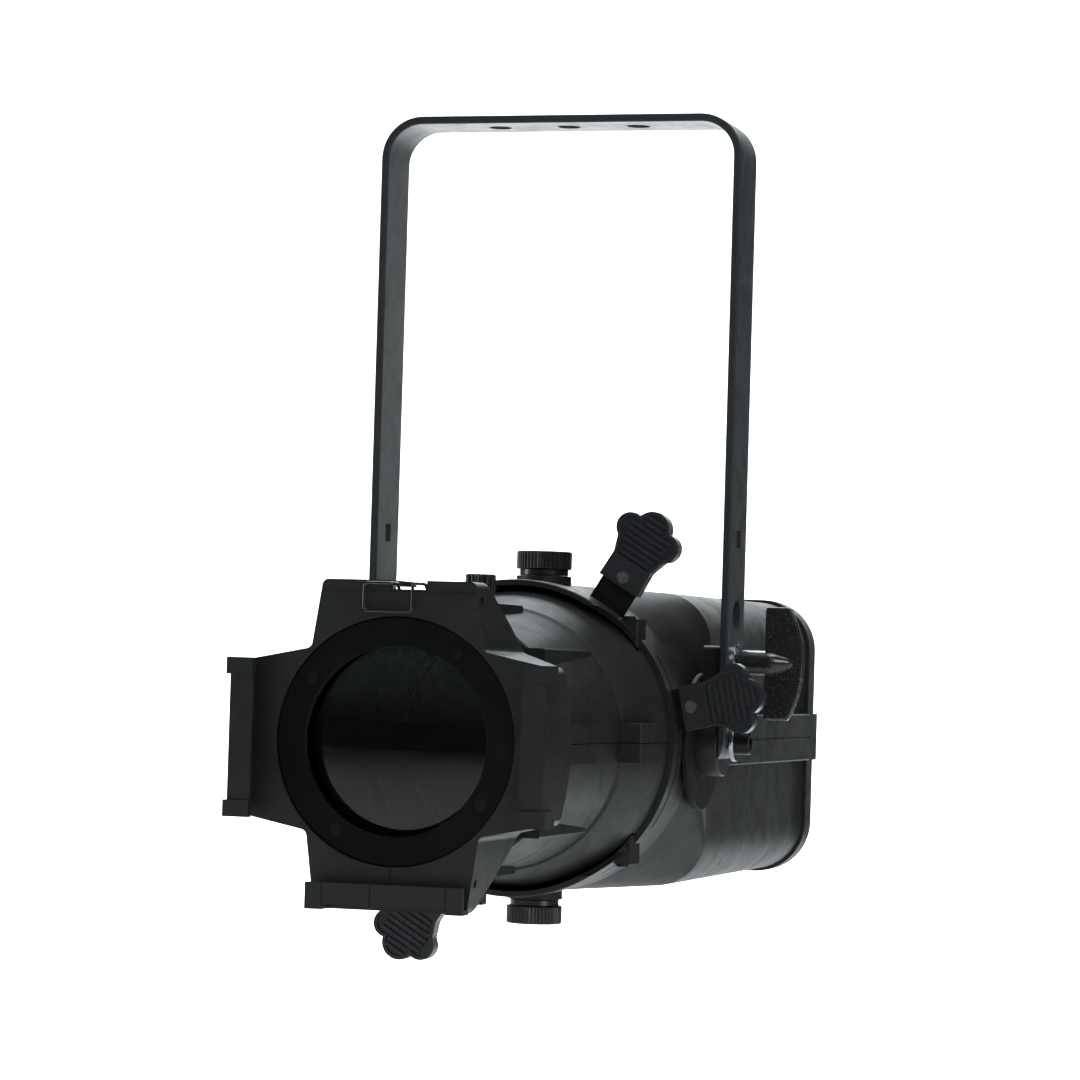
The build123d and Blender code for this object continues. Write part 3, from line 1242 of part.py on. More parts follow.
for name, (order, rest, middle, swing, pull) in SHUTTERS.items():
    station = blade_station(order)
    face = along(rest, station)
    grip_base = GRIP_BASE_IN + pull
    blade_in = grip_base - BLADE_REACH
    shoe_angle = degrees(atan2(NECK_WIDE / 2 + SEAT_PLAY * 2 + GUIDE_SIDE, GUIDE_OUTER))

    with BuildPart() as guide:
        with BuildSketch(along(rest, station - GUIDE_THICK / 2)) as shoe:
            Circle(GUIDE_OUTER)
            Circle(GUIDE_INNER, mode=Mode.SUBTRACT)
            with Locations((GUIDE_OUTER, 0)):
                Rectangle(GUIDE_OUTER, 2 * (NECK_WIDE / 2 + SEAT_PLAY * 2 + GUIDE_SIDE), mode=Mode.INTERSECT)
        extrude(amount=-GUIDE_THICK)
        with BuildSketch(along(rest, station - BLADE_THICK / 2 - BLADE_PLAY)):
            with Locations((GUIDE_OUTER, 0)):
                Rectangle(GUIDE_OUTER, NECK_WIDE + 4 * SEAT_PLAY)
        extrude(amount=-BLADE_THICK - 2 * BLADE_PLAY, mode=Mode.SUBTRACT)
    save(guide.part, f"shutter_{name}_guide")

    with BuildPart() as blade:
        with BuildSketch(face):
            with Locations((blade_in + BLADE_LONG / 2, 0)):
                wide = Rectangle(BLADE_LONG, BLADE_WIDE)
            chamfer(wide.vertices(), BLADE_CUT)
            with Locations(((blade_in + grip_base + GRIP_EMBED) / 2, 0)):
                Rectangle(grip_base + GRIP_EMBED - blade_in, NECK_WIDE)
        extrude(amount=BLADE_THICK / 2, both=True)
        with BuildSketch(along(rest, station - BLADE_THICK)):
            with Locations((grip_base + GRIP_SCREW_U, 0)):
                Circle(SCREW_R)
        extrude(amount=-2 * BLADE_THICK, mode=Mode.SUBTRACT)
    save(blade.part, f"shutter_{name}_blade")

    with BuildPart() as grip:
        extrude(grip_outline(along(rest, station - GRIP_THICK / 2), grip_base, 0), amount=-GRIP_THICK)
        for face_y, way in ((station - GRIP_THICK / 2, -1), (station + GRIP_THICK / 2, 1)):
            pocket = grip_outline(along(rest, face_y), grip_base, GRIP_RIM, GRIP_NECK)
            extrude(pocket, amount=way * GRIP_POCKET, mode=Mode.SUBTRACT)
            with BuildSketch(along(rest, face_y)):
                for k in range(RIDGE_COUNT):
                    u = RIDGE_START + k * RIDGE_PITCH
                    half = GRIP_WAIST_HALF - GRIP_RIM if u < GRIP_FLARE else LOBE_SIDE_V + RIDGE_WIDE
                    half = LOBE_MID_R - GRIP_RIM - RIDGE_WIDE if u > LOBE_MID_U else half
                    with Locations((grip_base + u, 0)):
                        Rectangle(RIDGE_WIDE, 2 * half)
            extrude(amount=way * GRIP_POCKET)
        with BuildSketch(along(rest, station - GRIP_THICK / 2)):
            with Locations((grip_base + GRIP_SCREW_U, 0)):
                Circle(SCREW_HEAD_R + 1.6)
        extrude(amount=-GRIP_POCKET - 0.6)
    with BuildPart() as slot:
        with BuildSketch(face):
            with Locations((grip_base + GRIP_EMBED / 2 - 1, 0)):
                Rectangle(GRIP_EMBED + 2, NECK_WIDE)
        extrude(amount=BLADE_THICK / 2, both=True)
        with BuildSketch(along(rest, station - GRIP_THICK)):
            with Locations((grip_base + GRIP_SCREW_U, 0)):
                Circle(SCREW_R)
        extrude(amount=-GRIP_THICK - SCREW_HEAD_LONG)
        with BuildSketch(along(rest, station - GRIP_THICK)):
            with Locations((grip_base + GRIP_SCREW_U, 0)):
                Circle(SCREW_HEAD_R + SEAT_PLAY)
        extrude(amount=-GRIP_THICK / 2 - SCREW_HEAD_LONG)
    save(grip.part - slot.part, f"shutter_{name}_grip")

    with BuildPart() as screw:
        with BuildSketch(along(rest, station - GRIP_THICK / 2 + 0.2)):
            with Locations((grip_base + GRIP_SCREW_U, 0)):
                Circle(SCREW_HEAD_R)
        extrude(amount=-SCREW_HEAD_LONG + 0.2)
        with BuildSketch(along(rest, station - GRIP_THICK / 2 + SCREW_HEAD_LONG)):
            with Locations((grip_base + GRIP_SCREW_U, 0)):
                Circle(SCREW_R)
        extrude(amount=-GRIP_THICK / 2)
        with BuildSketch(along(rest, station - GRIP_THICK / 2 + 0.2)):
            with Locations((grip_base + GRIP_SCREW_U, 0)):
                Rectangle(SCREW_R * 2.2, 0.8)
                Rectangle(0.8, SCREW_R * 2.2)
        extrude(amount=-0.8, mode=Mode.SUBTRACT)
    save(screw.part, f"shutter_{name}_screw")

# ---------------------------------------------------------------- light engine
save(lens_blank(CONDENSER_R, CONDENSER_EDGE, CONDENSER_SAG, CONDENSER_Y), "condenser_lens")

with BuildPart() as lamp_cell:
    with BuildSketch(beside(0)):
        seat = CONDENSER_R + SEAT_PLAY
        small = REFLECTOR_SMALL_R
        with BuildLine():
            Polyline((CELL_FRONT, seat - 2), (CELL_FRONT, gate_r), (CELL_FRONT + 2, gate_r), (CELL_FRONT + 2, CELL_R),
                     (CONDENSER_Y + 3, CELL_R), (REFLECTOR_BACK - 3, small + REFLECTOR_WALL),
                     (REFLECTOR_BACK - 3, small + 8), (REFLECTOR_BACK, small + 8), (REFLECTOR_BACK, small),
                     (CONDENSER_Y, seat - 3), (CONDENSER_Y, seat), (CELL_FRONT + 2, seat),
                     (CELL_FRONT + 2, seat - 2), close=True)
        make_face()
    revolve(axis=OPTICAL_AXIS)
save(lamp_cell.part, "reflector_cell")

with BuildPart() as led_module:
    with BuildSketch(across(REFLECTOR_BACK)):
        Rectangle(EMITTER_PLATE, EMITTER_PLATE)
    extrude(amount=-EMITTER_THICK)
    with BuildSketch(across(REFLECTOR_BACK)):
        Circle(EMITTER_R)
    extrude(amount=1.2)
save(led_module.part, "led_module")

sink_front = REFLECTOR_BACK + EMITTER_THICK
with BuildPart() as heat_sink:
    with BuildSketch(across(sink_front)):
        Rectangle(SINK_SIZE, SINK_SIZE)
    extrude(amount=-SINK_BASE)
    with BuildSketch(across(sink_front + SINK_BASE)):
        with GridLocations((SINK_SIZE - SINK_FIN) / (SINK_FINS - 1), 1, SINK_FINS, 1):
            Rectangle(SINK_FIN, SINK_SIZE)
    extrude(amount=-SINK_LONG)
save(heat_sink.part, "heat_sink")

with BuildPart() as fan_frame:
    with BuildSketch(across(FAN_Y)):
        RectangleRounded(FAN_SIZE, FAN_SIZE, 6)
        Circle(FAN_BORE_R, mode=Mode.SUBTRACT)
    extrude(amount=-FAN_DEEP)
    with BuildSketch(across(FAN_Y + FAN_DEEP)):
        Circle(FAN_HUB_R)
        Rectangle(2 * FAN_BORE_R + 2, FAN_STRUT)
        Rectangle(FAN_STRUT, 2 * FAN_BORE_R + 2)
    extrude(amount=3)
    with BuildSketch(across(FAN_Y + FAN_DEEP)):
        Circle(FAN_SHAFT_R + RUNNING)
    extrude(amount=6, mode=Mode.SUBTRACT)
save(fan_frame.part, "fan_frame")

with BuildPart() as fan_rotor:
    hub_front = FAN_Y + 2.0
    with BuildSketch(across(hub_front)):
        Circle(FAN_HUB_R)
    extrude(amount=-FAN_BLADE_DEEP - 2)
    with BuildSketch(across(hub_front + FAN_BLADE_DEEP)):
        Circle(FAN_SHAFT_R)
    extrude(amount=-FAN_DEEP + FAN_BLADE_DEEP + 2.4)
    for k in range(FAN_BLADES):
        turn = radians(360 * k / FAN_BLADES)
        pitch = radians(FAN_PITCH)
        chord = (cos(turn) * sin(pitch), cos(pitch), -sin(turn) * sin(pitch))
        root = FAN_HUB_R - 1.5
        root_point = (root * sin(turn), hub_front + FAN_BLADE_DEEP / 2 + 1, AXIS_Z + root * cos(turn))
        with BuildSketch(Plane(origin=root_point, x_dir=chord, z_dir=(sin(turn), 0, cos(turn)))):
            Rectangle(FAN_BLADE_DEEP, FAN_BLADE_THICK)
        extrude(amount=FAN_TIP_R - root)
save(fan_rotor.part, "fan_rotor")

# ---------------------------------------------------------------- chassis tray and driver
tray_top = -SINK_SIZE / 2
with BuildPart() as chassis_tray:
    with BuildSketch(above(tray_top)):
        with Locations((0, (TRAY_FRONT + TRAY_BACK) / 2)):
            Rectangle(2 * TRAY_HALF_WIDE, TRAY_BACK - TRAY_FRONT)
    extrude(amount=-TRAY_THICK)
    with BuildSketch(above(tray_top - TRAY_THICK)):
        with Locations((0, (TRAY_FRONT + TRAY_BACK) / 2)):
            with GridLocations(2 * TRAY_HALF_WIDE - 34, TRAY_BACK - TRAY_FRONT - 40, 2, 2):
                Circle(TRAY_LEG_R)
    extrude(amount=-(BOX_HALF_HEIGHT - WALL + tray_top - TRAY_THICK))
save(chassis_tray.part, "chassis_tray")

with BuildPart() as driver:
    with BuildSketch(above(tray_top)):
        with Locations((0, DRIVER_Y + DRIVER_SIZE[1] / 2)):
            Rectangle(DRIVER_SIZE[0], DRIVER_SIZE[1])
    extrude(amount=DRIVER_SIZE[2])
    chamfer(driver.faces().sort_by(Axis.Z)[-1].edges(), 1.5)
save(driver.part, "driver")
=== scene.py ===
"""Ellipsoidal stage spotlight: finishes of the solid parts, finer knobs and lenses, and the studio."""
import json
from math import radians

import bmesh
import bpy
import numpy as np
from bpy.props import FloatProperty, FloatVectorProperty, IntProperty, PointerProperty
from mathutils import Matrix, Vector


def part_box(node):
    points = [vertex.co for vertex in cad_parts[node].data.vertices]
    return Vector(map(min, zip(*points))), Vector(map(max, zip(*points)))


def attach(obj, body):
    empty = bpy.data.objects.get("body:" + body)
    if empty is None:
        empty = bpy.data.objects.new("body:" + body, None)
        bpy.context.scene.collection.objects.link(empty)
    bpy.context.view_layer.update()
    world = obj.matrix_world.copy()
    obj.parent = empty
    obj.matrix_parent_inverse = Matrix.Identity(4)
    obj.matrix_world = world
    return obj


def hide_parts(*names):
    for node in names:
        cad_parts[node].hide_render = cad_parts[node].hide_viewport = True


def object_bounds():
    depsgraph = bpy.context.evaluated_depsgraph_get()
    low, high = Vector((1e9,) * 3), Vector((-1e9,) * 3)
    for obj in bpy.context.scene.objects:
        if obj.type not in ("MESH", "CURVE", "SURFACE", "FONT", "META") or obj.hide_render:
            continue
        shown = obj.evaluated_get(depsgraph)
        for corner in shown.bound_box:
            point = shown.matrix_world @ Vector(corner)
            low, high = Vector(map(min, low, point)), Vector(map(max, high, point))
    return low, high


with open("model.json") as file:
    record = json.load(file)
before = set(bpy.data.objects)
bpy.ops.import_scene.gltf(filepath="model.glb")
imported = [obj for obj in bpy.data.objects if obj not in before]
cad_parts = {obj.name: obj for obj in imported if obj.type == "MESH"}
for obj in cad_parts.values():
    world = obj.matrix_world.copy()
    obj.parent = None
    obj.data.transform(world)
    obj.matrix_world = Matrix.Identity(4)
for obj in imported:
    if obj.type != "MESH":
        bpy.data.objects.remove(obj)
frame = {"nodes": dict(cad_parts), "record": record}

bl_info = {
    "name": "Ellipsoidal spotlight",
    "version": (1, 0, 0),
    "blender": (4, 5, 0),
    "location": "3D View > Sidebar > Spotlight",
    "description": "Finishes, knobs, lenses and studio for an ellipsoidal stage spotlight",
    "category": "Object",
}

CAD_BOX = [list(corner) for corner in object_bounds()]
MM = 0.001
PIVOT_LOW, PIVOT_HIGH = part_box("pivot_discs")
AXIS_Z = (PIVOT_LOW.z + PIVOT_HIGH.z) / 2
SHARP_EDGE = radians(38)

# Lenses: node, thickness of the edge in mm, body.
LENSES = (("front_lens", 4.0, "focus"), ("rear_lens", 5.0, "focus"), ("condenser_lens", 4.0, "lamp"))
LENS_BEVEL = 0.4

# Knobs, in mm: radii of stem, collar and head, depths below the top where each starts, and the edge radius.
# Columns is the number of points round one rib, and sharp narrows the groove between two ribs.
LARGE_KNOB = {"stem": 5.0, "collar": 13.8, "head": 15.6, "stem_down": 26.9, "collar_down": 13.6,
              "head_down": 10.2, "edge": 1.0, "columns": 8, "sharp": 1.6}
SMALL_KNOB = {"stem": 3.0, "collar": 8.2, "head": 8.2, "stem_down": 30.9, "collar_down": 15.6,
              "head_down": 11.4, "edge": 1.1, "columns": 14, "sharp": 2.4}

# Studio, in metres. The sweep runs flat, bends up by a quarter circle and rises straight.
SWEEP_FRONT = -6.0
SWEEP_BEND = 3.0
SWEEP_HALF_WIDTH = 9.0
SWEEP_COLUMNS = 9
SWEEP_TOP = 9.0
CARD_START = 0.2
CARD_END = 4.5
CARD_BACK = 1.5
CARD_TOP = 2.4
LIGHT_TINT = (0.93, 0.98, 1.0)
ROOM_TINT = (0.86, 0.96, 1.0, 1.0)

# Camera: sensor width and focal length in mm, place in metres, and its right, up and backward directions.
SENSOR_WIDTH = 36.0
FOCAL_LENGTH = 129.98
CAMERA_AT = (0.62094, -2.12737, -0.3117)
CAMERA_RIGHT = Vector((0.95856, 0.28335, 0.0297))
CAMERA_UP = Vector((-0.01937, -0.03918, 0.99904))
CAMERA_BACK = Vector((0.28424, -0.95822, -0.03207))


# ------------------------------------------------------------------ shader helpers
def add(tree, kind, values=None, **settings):
    """Add one shader node, set its properties and the default values of its inputs."""
    made = tree.nodes.new(kind)
    for key, value in settings.items():
        setattr(made, key, value)
    for key, value in (values or {}).items():
        made.inputs[key].default_value = value
    return made


def join(tree, start, out, end, into):
    """Link one output to one input, both by name or number."""
    tree.links.new(start.outputs[out], end.inputs[into])


def new_group(name, inputs, outputs):
    """Start a shader node group with number inputs and outputs."""
    group = bpy.data.node_groups.new(name, "ShaderNodeTree")
    for label, default in inputs.items():
        socket = group.interface.new_socket(label, in_out="INPUT", socket_type="NodeSocketFloat")
        socket.default_value = default
    for label in outputs:
        group.interface.new_socket(label, in_out="OUTPUT", socket_type="NodeSocketFloat")
    return group, add(group, "NodeGroupInput"), add(group, "NodeGroupOutput")


def grain_group():
    """Fine grain of a coated or moulded skin: a height, slow clouds and scattered flecks."""
    tree, given, result = new_group("skin_grain", {"Grain": 900.0, "Cloud": 18.0},
                                    ("Height", "Cloud", "Fleck"))
    place = add(tree, "ShaderNodeTexCoord")
    fine = add(tree, "ShaderNodeTexNoise", {"Detail": 3.0, "Roughness": 0.6})
    slow = add(tree, "ShaderNodeTexNoise", {"Detail": 4.0, "Roughness": 0.62, "Distortion": 0.4})
    cell = add(tree, "ShaderNodeTexVoronoi", feature="F1")
    even = add(tree, "ShaderNodeMapRange", {"From Min": 0.32, "From Max": 0.68})
    dots = add(tree, "ShaderNodeMapRange", {"From Min": 0.3, "From Max": 0.12})
    for texture in (fine, slow, cell):
        join(tree, place, "Object", texture, "Vector")
    join(tree, given, "Grain", fine, "Scale")
    join(tree, given, "Cloud", slow, "Scale")
    join(tree, given, "Grain", cell, "Scale")
    join(tree, slow, "Fac", even, "Value")
    join(tree, cell, "Distance", dots, "Value")
    join(tree, fine, "Fac", result, "Height")
    join(tree, even, "Result", result, "Cloud")
    join(tree, dots, "Result", result, "Fleck")
    return tree


def wear_group():
    """Light handling marks: broken hairlines, dust that settles on upward faces, and soft smudges."""
    tree, given, result = new_group("handling_wear", {"Size": 1.0}, ("Scratch", "Dust", "Smudge"))
    place = add(tree, "ShaderNodeTexCoord")
    stretch = add(tree, "ShaderNodeMapping", {"Scale": (40.0, 260.0, 900.0), "Rotation": (0.5, 0.3, 0.9)})
    line = add(tree, "ShaderNodeTexNoise", {"Scale": 1.0, "Detail": 2.0, "Roughness": 0.5})
    keep = add(tree, "ShaderNodeMapRange", {"From Min": 0.66, "From Max": 0.74})
    gap = add(tree, "ShaderNodeTexNoise", {"Scale": 30.0, "Detail": 2.0})
    gap_keep = add(tree, "ShaderNodeMapRange", {"From Min": 0.52, "From Max": 0.66})
    both = add(tree, "ShaderNodeMath", operation="MULTIPLY")
    shape = add(tree, "ShaderNodeNewGeometry")
    parts = add(tree, "ShaderNodeSeparateXYZ")
    upward = add(tree, "ShaderNodeMapRange", {"From Min": 0.55, "From Max": 1.0})
    specks = add(tree, "ShaderNodeTexNoise", {"Scale": 420.0, "Detail": 4.0, "Roughness": 0.75})
    specks_keep = add(tree, "ShaderNodeMapRange", {"From Min": 0.56, "From Max": 0.78})
    dust = add(tree, "ShaderNodeMath", operation="MULTIPLY")
    smudge = add(tree, "ShaderNodeTexNoise",
                 {"Scale": 38.0, "Detail": 5.0, "Roughness": 0.7, "Distortion": 1.2})
    smudge_keep = add(tree, "ShaderNodeMapRange", {"From Min": 0.45, "From Max": 0.7})
    join(tree, place, "Object", stretch, "Vector")
    join(tree, stretch, "Vector", line, "Vector")
    for texture in (gap, specks, smudge):
        join(tree, place, "Object", texture, "Vector")
    join(tree, line, "Fac", keep, "Value")
    join(tree, gap, "Fac", gap_keep, "Value")
    join(tree, keep, "Result", both, 0)
    join(tree, gap_keep, "Result", both, 1)
    join(tree, shape, "Normal", parts, "Vector")
    join(tree, parts, "Z", upward, "Value")
    join(tree, specks, "Fac", specks_keep, "Value")
    join(tree, upward, "Result", dust, 0)
    join(tree, specks_keep, "Result", dust, 1)
    join(tree, smudge, "Fac", smudge_keep, "Value")
    join(tree, both, "Value", result, "Scratch")
    join(tree, dust, "Value", result, "Dust")
    join(tree, smudge_keep, "Result", result, "Smudge")
    return tree


def mix_number(tree, low, high):
    """A Map Range that turns a 0 to 1 mask into a number between low and high."""
    return add(tree, "ShaderNodeMapRange", {"To Min": low, "To Max": high})


def mix_colour(tree, first, second):
    """A colour mix between two fixed colours."""
    made = add(tree, "ShaderNodeMix", data_type="RGBA")
    made.inputs["A"].default_value = (*first, 1.0)
    made.inputs["B"].default_value = (*second, 1.0)
    return made


def skin(name, colour, rough, grain=900.0, depth=0.06, cloud=0.12, fleck=0.0,
         fleck_colour=(0.2, 0.2, 0.21), metal=0.0, coat=0.0, coat_rough=0.15, scratch=0.3, dust=0.25,
         specular=0.5, grain_height=0.00025):
    """Coated or moulded skin: grainy, slightly cloudy in colour, with flecks, hairlines and dust."""
    material = bpy.data.materials.new(name)
    material.use_nodes = True
    tree = material.node_tree
    shader = tree.nodes["Principled BSDF"]
    shader.inputs["Metallic"].default_value = metal
    shader.inputs["Coat Weight"].default_value = coat
    shader.inputs["Coat Roughness"].default_value = coat_rough
    shader.inputs["Specular IOR Level"].default_value = specular
    grains = add(tree, "ShaderNodeGroup", node_tree=GROUPS["grain"])
    grains.inputs["Grain"].default_value = grain
    worn = add(tree, "ShaderNodeGroup", node_tree=GROUPS["wear"])
    light = tuple(min(1.0, c * (1 + cloud) + 0.002) for c in colour)
    dark = tuple(c * (1 - cloud) for c in colour)
    base = mix_colour(tree, dark, light)
    join(tree, grains, "Cloud", base, "Factor")
    flecked = mix_colour(tree, dark, fleck_colour)
    fleck_amount = mix_number(tree, 0.0, fleck)
    join(tree, grains, "Fleck", fleck_amount, "Value")
    join(tree, fleck_amount, "Result", flecked, "Factor")
    join(tree, base, "Result", flecked, "A")
    scored = mix_colour(tree, dark, tuple(min(1.0, c * 2.2 + 0.03) for c in colour))
    scratch_amount = mix_number(tree, 0.0, scratch)
    join(tree, worn, "Scratch", scratch_amount, "Value")
    join(tree, scratch_amount, "Result", scored, "Factor")
    join(tree, flecked, "Result", scored, "A")
    dusted = mix_colour(tree, dark, (0.32, 0.31, 0.3))
    dust_amount = mix_number(tree, 0.0, dust)
    join(tree, worn, "Dust", dust_amount, "Value")
    join(tree, dust_amount, "Result", dusted, "Factor")
    join(tree, scored, "Result", dusted, "A")
    join(tree, dusted, "Result", shader, "Base Color")
    gloss = mix_number(tree, rough * 0.86, min(1.0, rough * 1.12))
    join(tree, worn, "Smudge", gloss, "Value")
    join(tree, gloss, "Result", shader, "Roughness")
    bump = add(tree, "ShaderNodeBump", {"Strength": depth, "Distance": grain_height})
    join(tree, grains, "Height", bump, "Height")
    join(tree, bump, "Normal", shader, "Normal")
    return material


def brushed(name, colour, rough, direction=(30.0, 1500.0, 1500.0), depth=0.05, metal=1.0, anisotropy=0.3):
    """Metal with fine lines drawn out along one direction, and a slow change of gloss."""
    material = bpy.data.materials.new(name)
    material.use_nodes = True
    tree = material.node_tree
    shader = tree.nodes["Principled BSDF"]
    shader.inputs["Metallic"].default_value = metal
    shader.inputs["Anisotropic"].default_value = anisotropy
    place = add(tree, "ShaderNodeTexCoord")
    stretch = add(tree, "ShaderNodeMapping", {"Scale": direction})
    lines = add(tree, "ShaderNodeTexNoise", {"Scale": 1.0, "Detail": 3.0})
    join(tree, place, "Object", stretch, "Vector")
    join(tree, stretch, "Vector", lines, "Vector")
    base = mix_colour(tree, tuple(c * 0.8 for c in colour), tuple(min(1.0, c * 1.15) for c in colour))
    join(tree, lines, "Fac", base, "Factor")
    join(tree, base, "Result", shader, "Base Color")
    gloss = mix_number(tree, rough * 0.75, rough * 1.3)
    join(tree, lines, "Fac", gloss, "Value")
    join(tree, gloss, "Result", shader, "Roughness")
    bump = add(tree, "ShaderNodeBump", {"Strength": depth, "Distance": 0.0001})
    join(tree, lines, "Fac", bump, "Height")
    join(tree, bump, "Normal", shader, "Normal")
    return material


def clear_glass(name, tint, coat):
    """Optical glass with a faint cast, a little dust on its face and a coated surface."""
    material = bpy.data.materials.new(name)
    material.use_nodes = True
    tree = material.node_tree
    shader = tree.nodes["Principled BSDF"]
    shader.inputs["Transmission Weight"].default_value = 1.0
    shader.inputs["IOR"].default_value = 1.5
    shader.inputs["Coat Weight"].default_value = coat
    shader.inputs["Coat Roughness"].default_value = 0.02
    worn = add(tree, "ShaderNodeGroup", node_tree=GROUPS["wear"])
    base = mix_colour(tree, tint, tuple(c * 0.94 for c in tint))
    join(tree, worn, "Smudge", base, "Factor")
    join(tree, base, "Result", shader, "Base Color")
    gloss = mix_number(tree, 0.012, 0.045)
    join(tree, worn, "Smudge", gloss, "Value")
    join(tree, gloss, "Result", shader, "Roughness")
    return material


GROUPS = {"grain": grain_group(), "wear": wear_group()}


# ------------------------------------------------------------------ surfaces
def piece_from(name, points, faces, body, replaced=()):
    """Make one smooth-shaded object from vertex and face arrays, closed and facing outward, on a body."""
    mesh = bpy.data.meshes.new(name)
    mesh.from_pydata(points.reshape(-1, 3).tolist(), [], faces.tolist())
    work = bmesh.new()
    work.from_mesh(mesh)
    bmesh.ops.remove_doubles(work, verts=work.verts, dist=1e-6)
    bmesh.ops.dissolve_degenerate(work, edges=work.edges, dist=1e-7)
    bmesh.ops.recalc_face_normals(work, faces=work.faces)
    work.to_mesh(mesh)
    work.free()
    mesh.shade_smooth()
    mesh.set_sharp_from_angle(angle=SHARP_EDGE)
    thing = bpy.data.objects.new(name, mesh)
    bpy.context.scene.collection.objects.link(thing)
    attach(thing, body)
    if replaced:
        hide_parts(*replaced)
    return thing


def grid_faces(rows, columns, wrap, start=0):
    """Quads over a grid of rows by columns; wrap closes each row onto itself."""
    row = np.arange(rows - 1)[:, None]
    column = np.arange(columns if wrap else columns - 1)[None, :]
    after = (column + 1) % columns
    quads = np.stack([row * columns + column, row * columns + after, (row + 1) * columns + after,
                      (row + 1) * columns + column], axis=-1)
    return quads.reshape(-1, 4) + start


def turned(profile, columns, ribs=0, depth=0.0, sharp=1.0):
    """Surface of revolution about Z. Each profile row is radius, height and how far the ribs cut into it;
    the radius falls by depth times (1 + cosine of ribs times the angle) / 2, raised to the power sharp."""
    rows = np.asarray(profile, float)
    angle = np.linspace(0, 2 * np.pi, columns, endpoint=False)
    wave = ((1 + np.cos(ribs * angle)) / 2) ** sharp if ribs else np.zeros(columns)
    radius = rows[:, :1] - depth * rows[:, 2:3] * wave[None, :]
    height = np.repeat(rows[:, 1:2], columns, axis=1)
    points = np.stack([radius * np.cos(angle), radius * np.sin(angle), height], axis=-1)
    return points * MM, grid_faces(len(rows), columns, True)


def arc_rows(centre_r, centre_h, radius, first, last, count, cut=0.0):
    """Profile rows along a circular arc, angles in degrees from +r towards +h."""
    angle = np.radians(np.linspace(first, last, count))
    return np.stack([centre_r + radius * np.cos(angle), centre_h + radius * np.sin(angle),
                     np.full(count, cut)], axis=1)


def placed(points, matrix):
    """Points moved by a 4 by 4 matrix."""
    turn = np.array(matrix)
    return points @ turn[:3, :3].T + turn[:3, 3]


# ------------------------------------------------------------------ settings
class CoatSettings(bpy.types.PropertyGroup):
    shell: FloatVectorProperty(name="Shell colour", description="Colour of the barrel and housing",
                               subtype="COLOR", size=3, min=0, max=1, default=(0.0125, 0.0135, 0.0145))
    yoke: FloatVectorProperty(name="Yoke colour", description="Colour of the flat-bar yoke",
                              subtype="COLOR", size=3, min=0, max=1, default=(0.024, 0.027, 0.03))
    holder: FloatVectorProperty(name="Holder colour", description="Colour of the colour frame holder",
                                subtype="COLOR", size=3, min=0, max=1, default=(0.0125, 0.0135, 0.0145))
    shell_rough: FloatProperty(name="Shell roughness", description="How matt the shells are",
                               min=0, max=1, default=0.5)
    grain: FloatProperty(name="Grain per metre", description="Number of grains along one metre of coating",
                         min=100, max=4000, default=1100)


class KnobSettings(bpy.types.PropertyGroup):
    large_ribs: IntProperty(name="Large knob ribs", description="Ribs round each large knob",
                            min=12, max=90, default=44)
    large_depth: FloatProperty(name="Large rib depth", description="Depth of the large knob's ribs, in mm",
                               min=0.1, max=2, default=0.55)
    small_ribs: IntProperty(name="Small knob flutes", description="Flutes round each small knob",
                            min=6, max=30, default=12)
    small_depth: FloatProperty(name="Small flute depth",
                               description="Depth of the small knob's flutes, in mm",
                               min=0.1, max=2, default=1.1)


class StudioSettings(bpy.types.PropertyGroup):
    floor: FloatVectorProperty(name="Floor colour", description="Colour of the floor and backdrop",
                               subtype="COLOR", size=3, min=0, max=1, default=(0.9, 0.9, 0.9))
    key: FloatProperty(name="Key light", description="Power of the main light, in watts",
                       min=0, default=26.0)
    backdrop: FloatProperty(name="Backdrop light",
                            description="Power of the lights on the backdrop, in watts",
                            min=0, default=320.0)
    room: FloatProperty(name="Room light", description="Strength of the even light all round",
                        min=0, default=0.05)
    drop: FloatProperty(name="Floor drop", description="Gap from the lamp down to the floor",
                        subtype="DISTANCE", min=0, default=0.22)


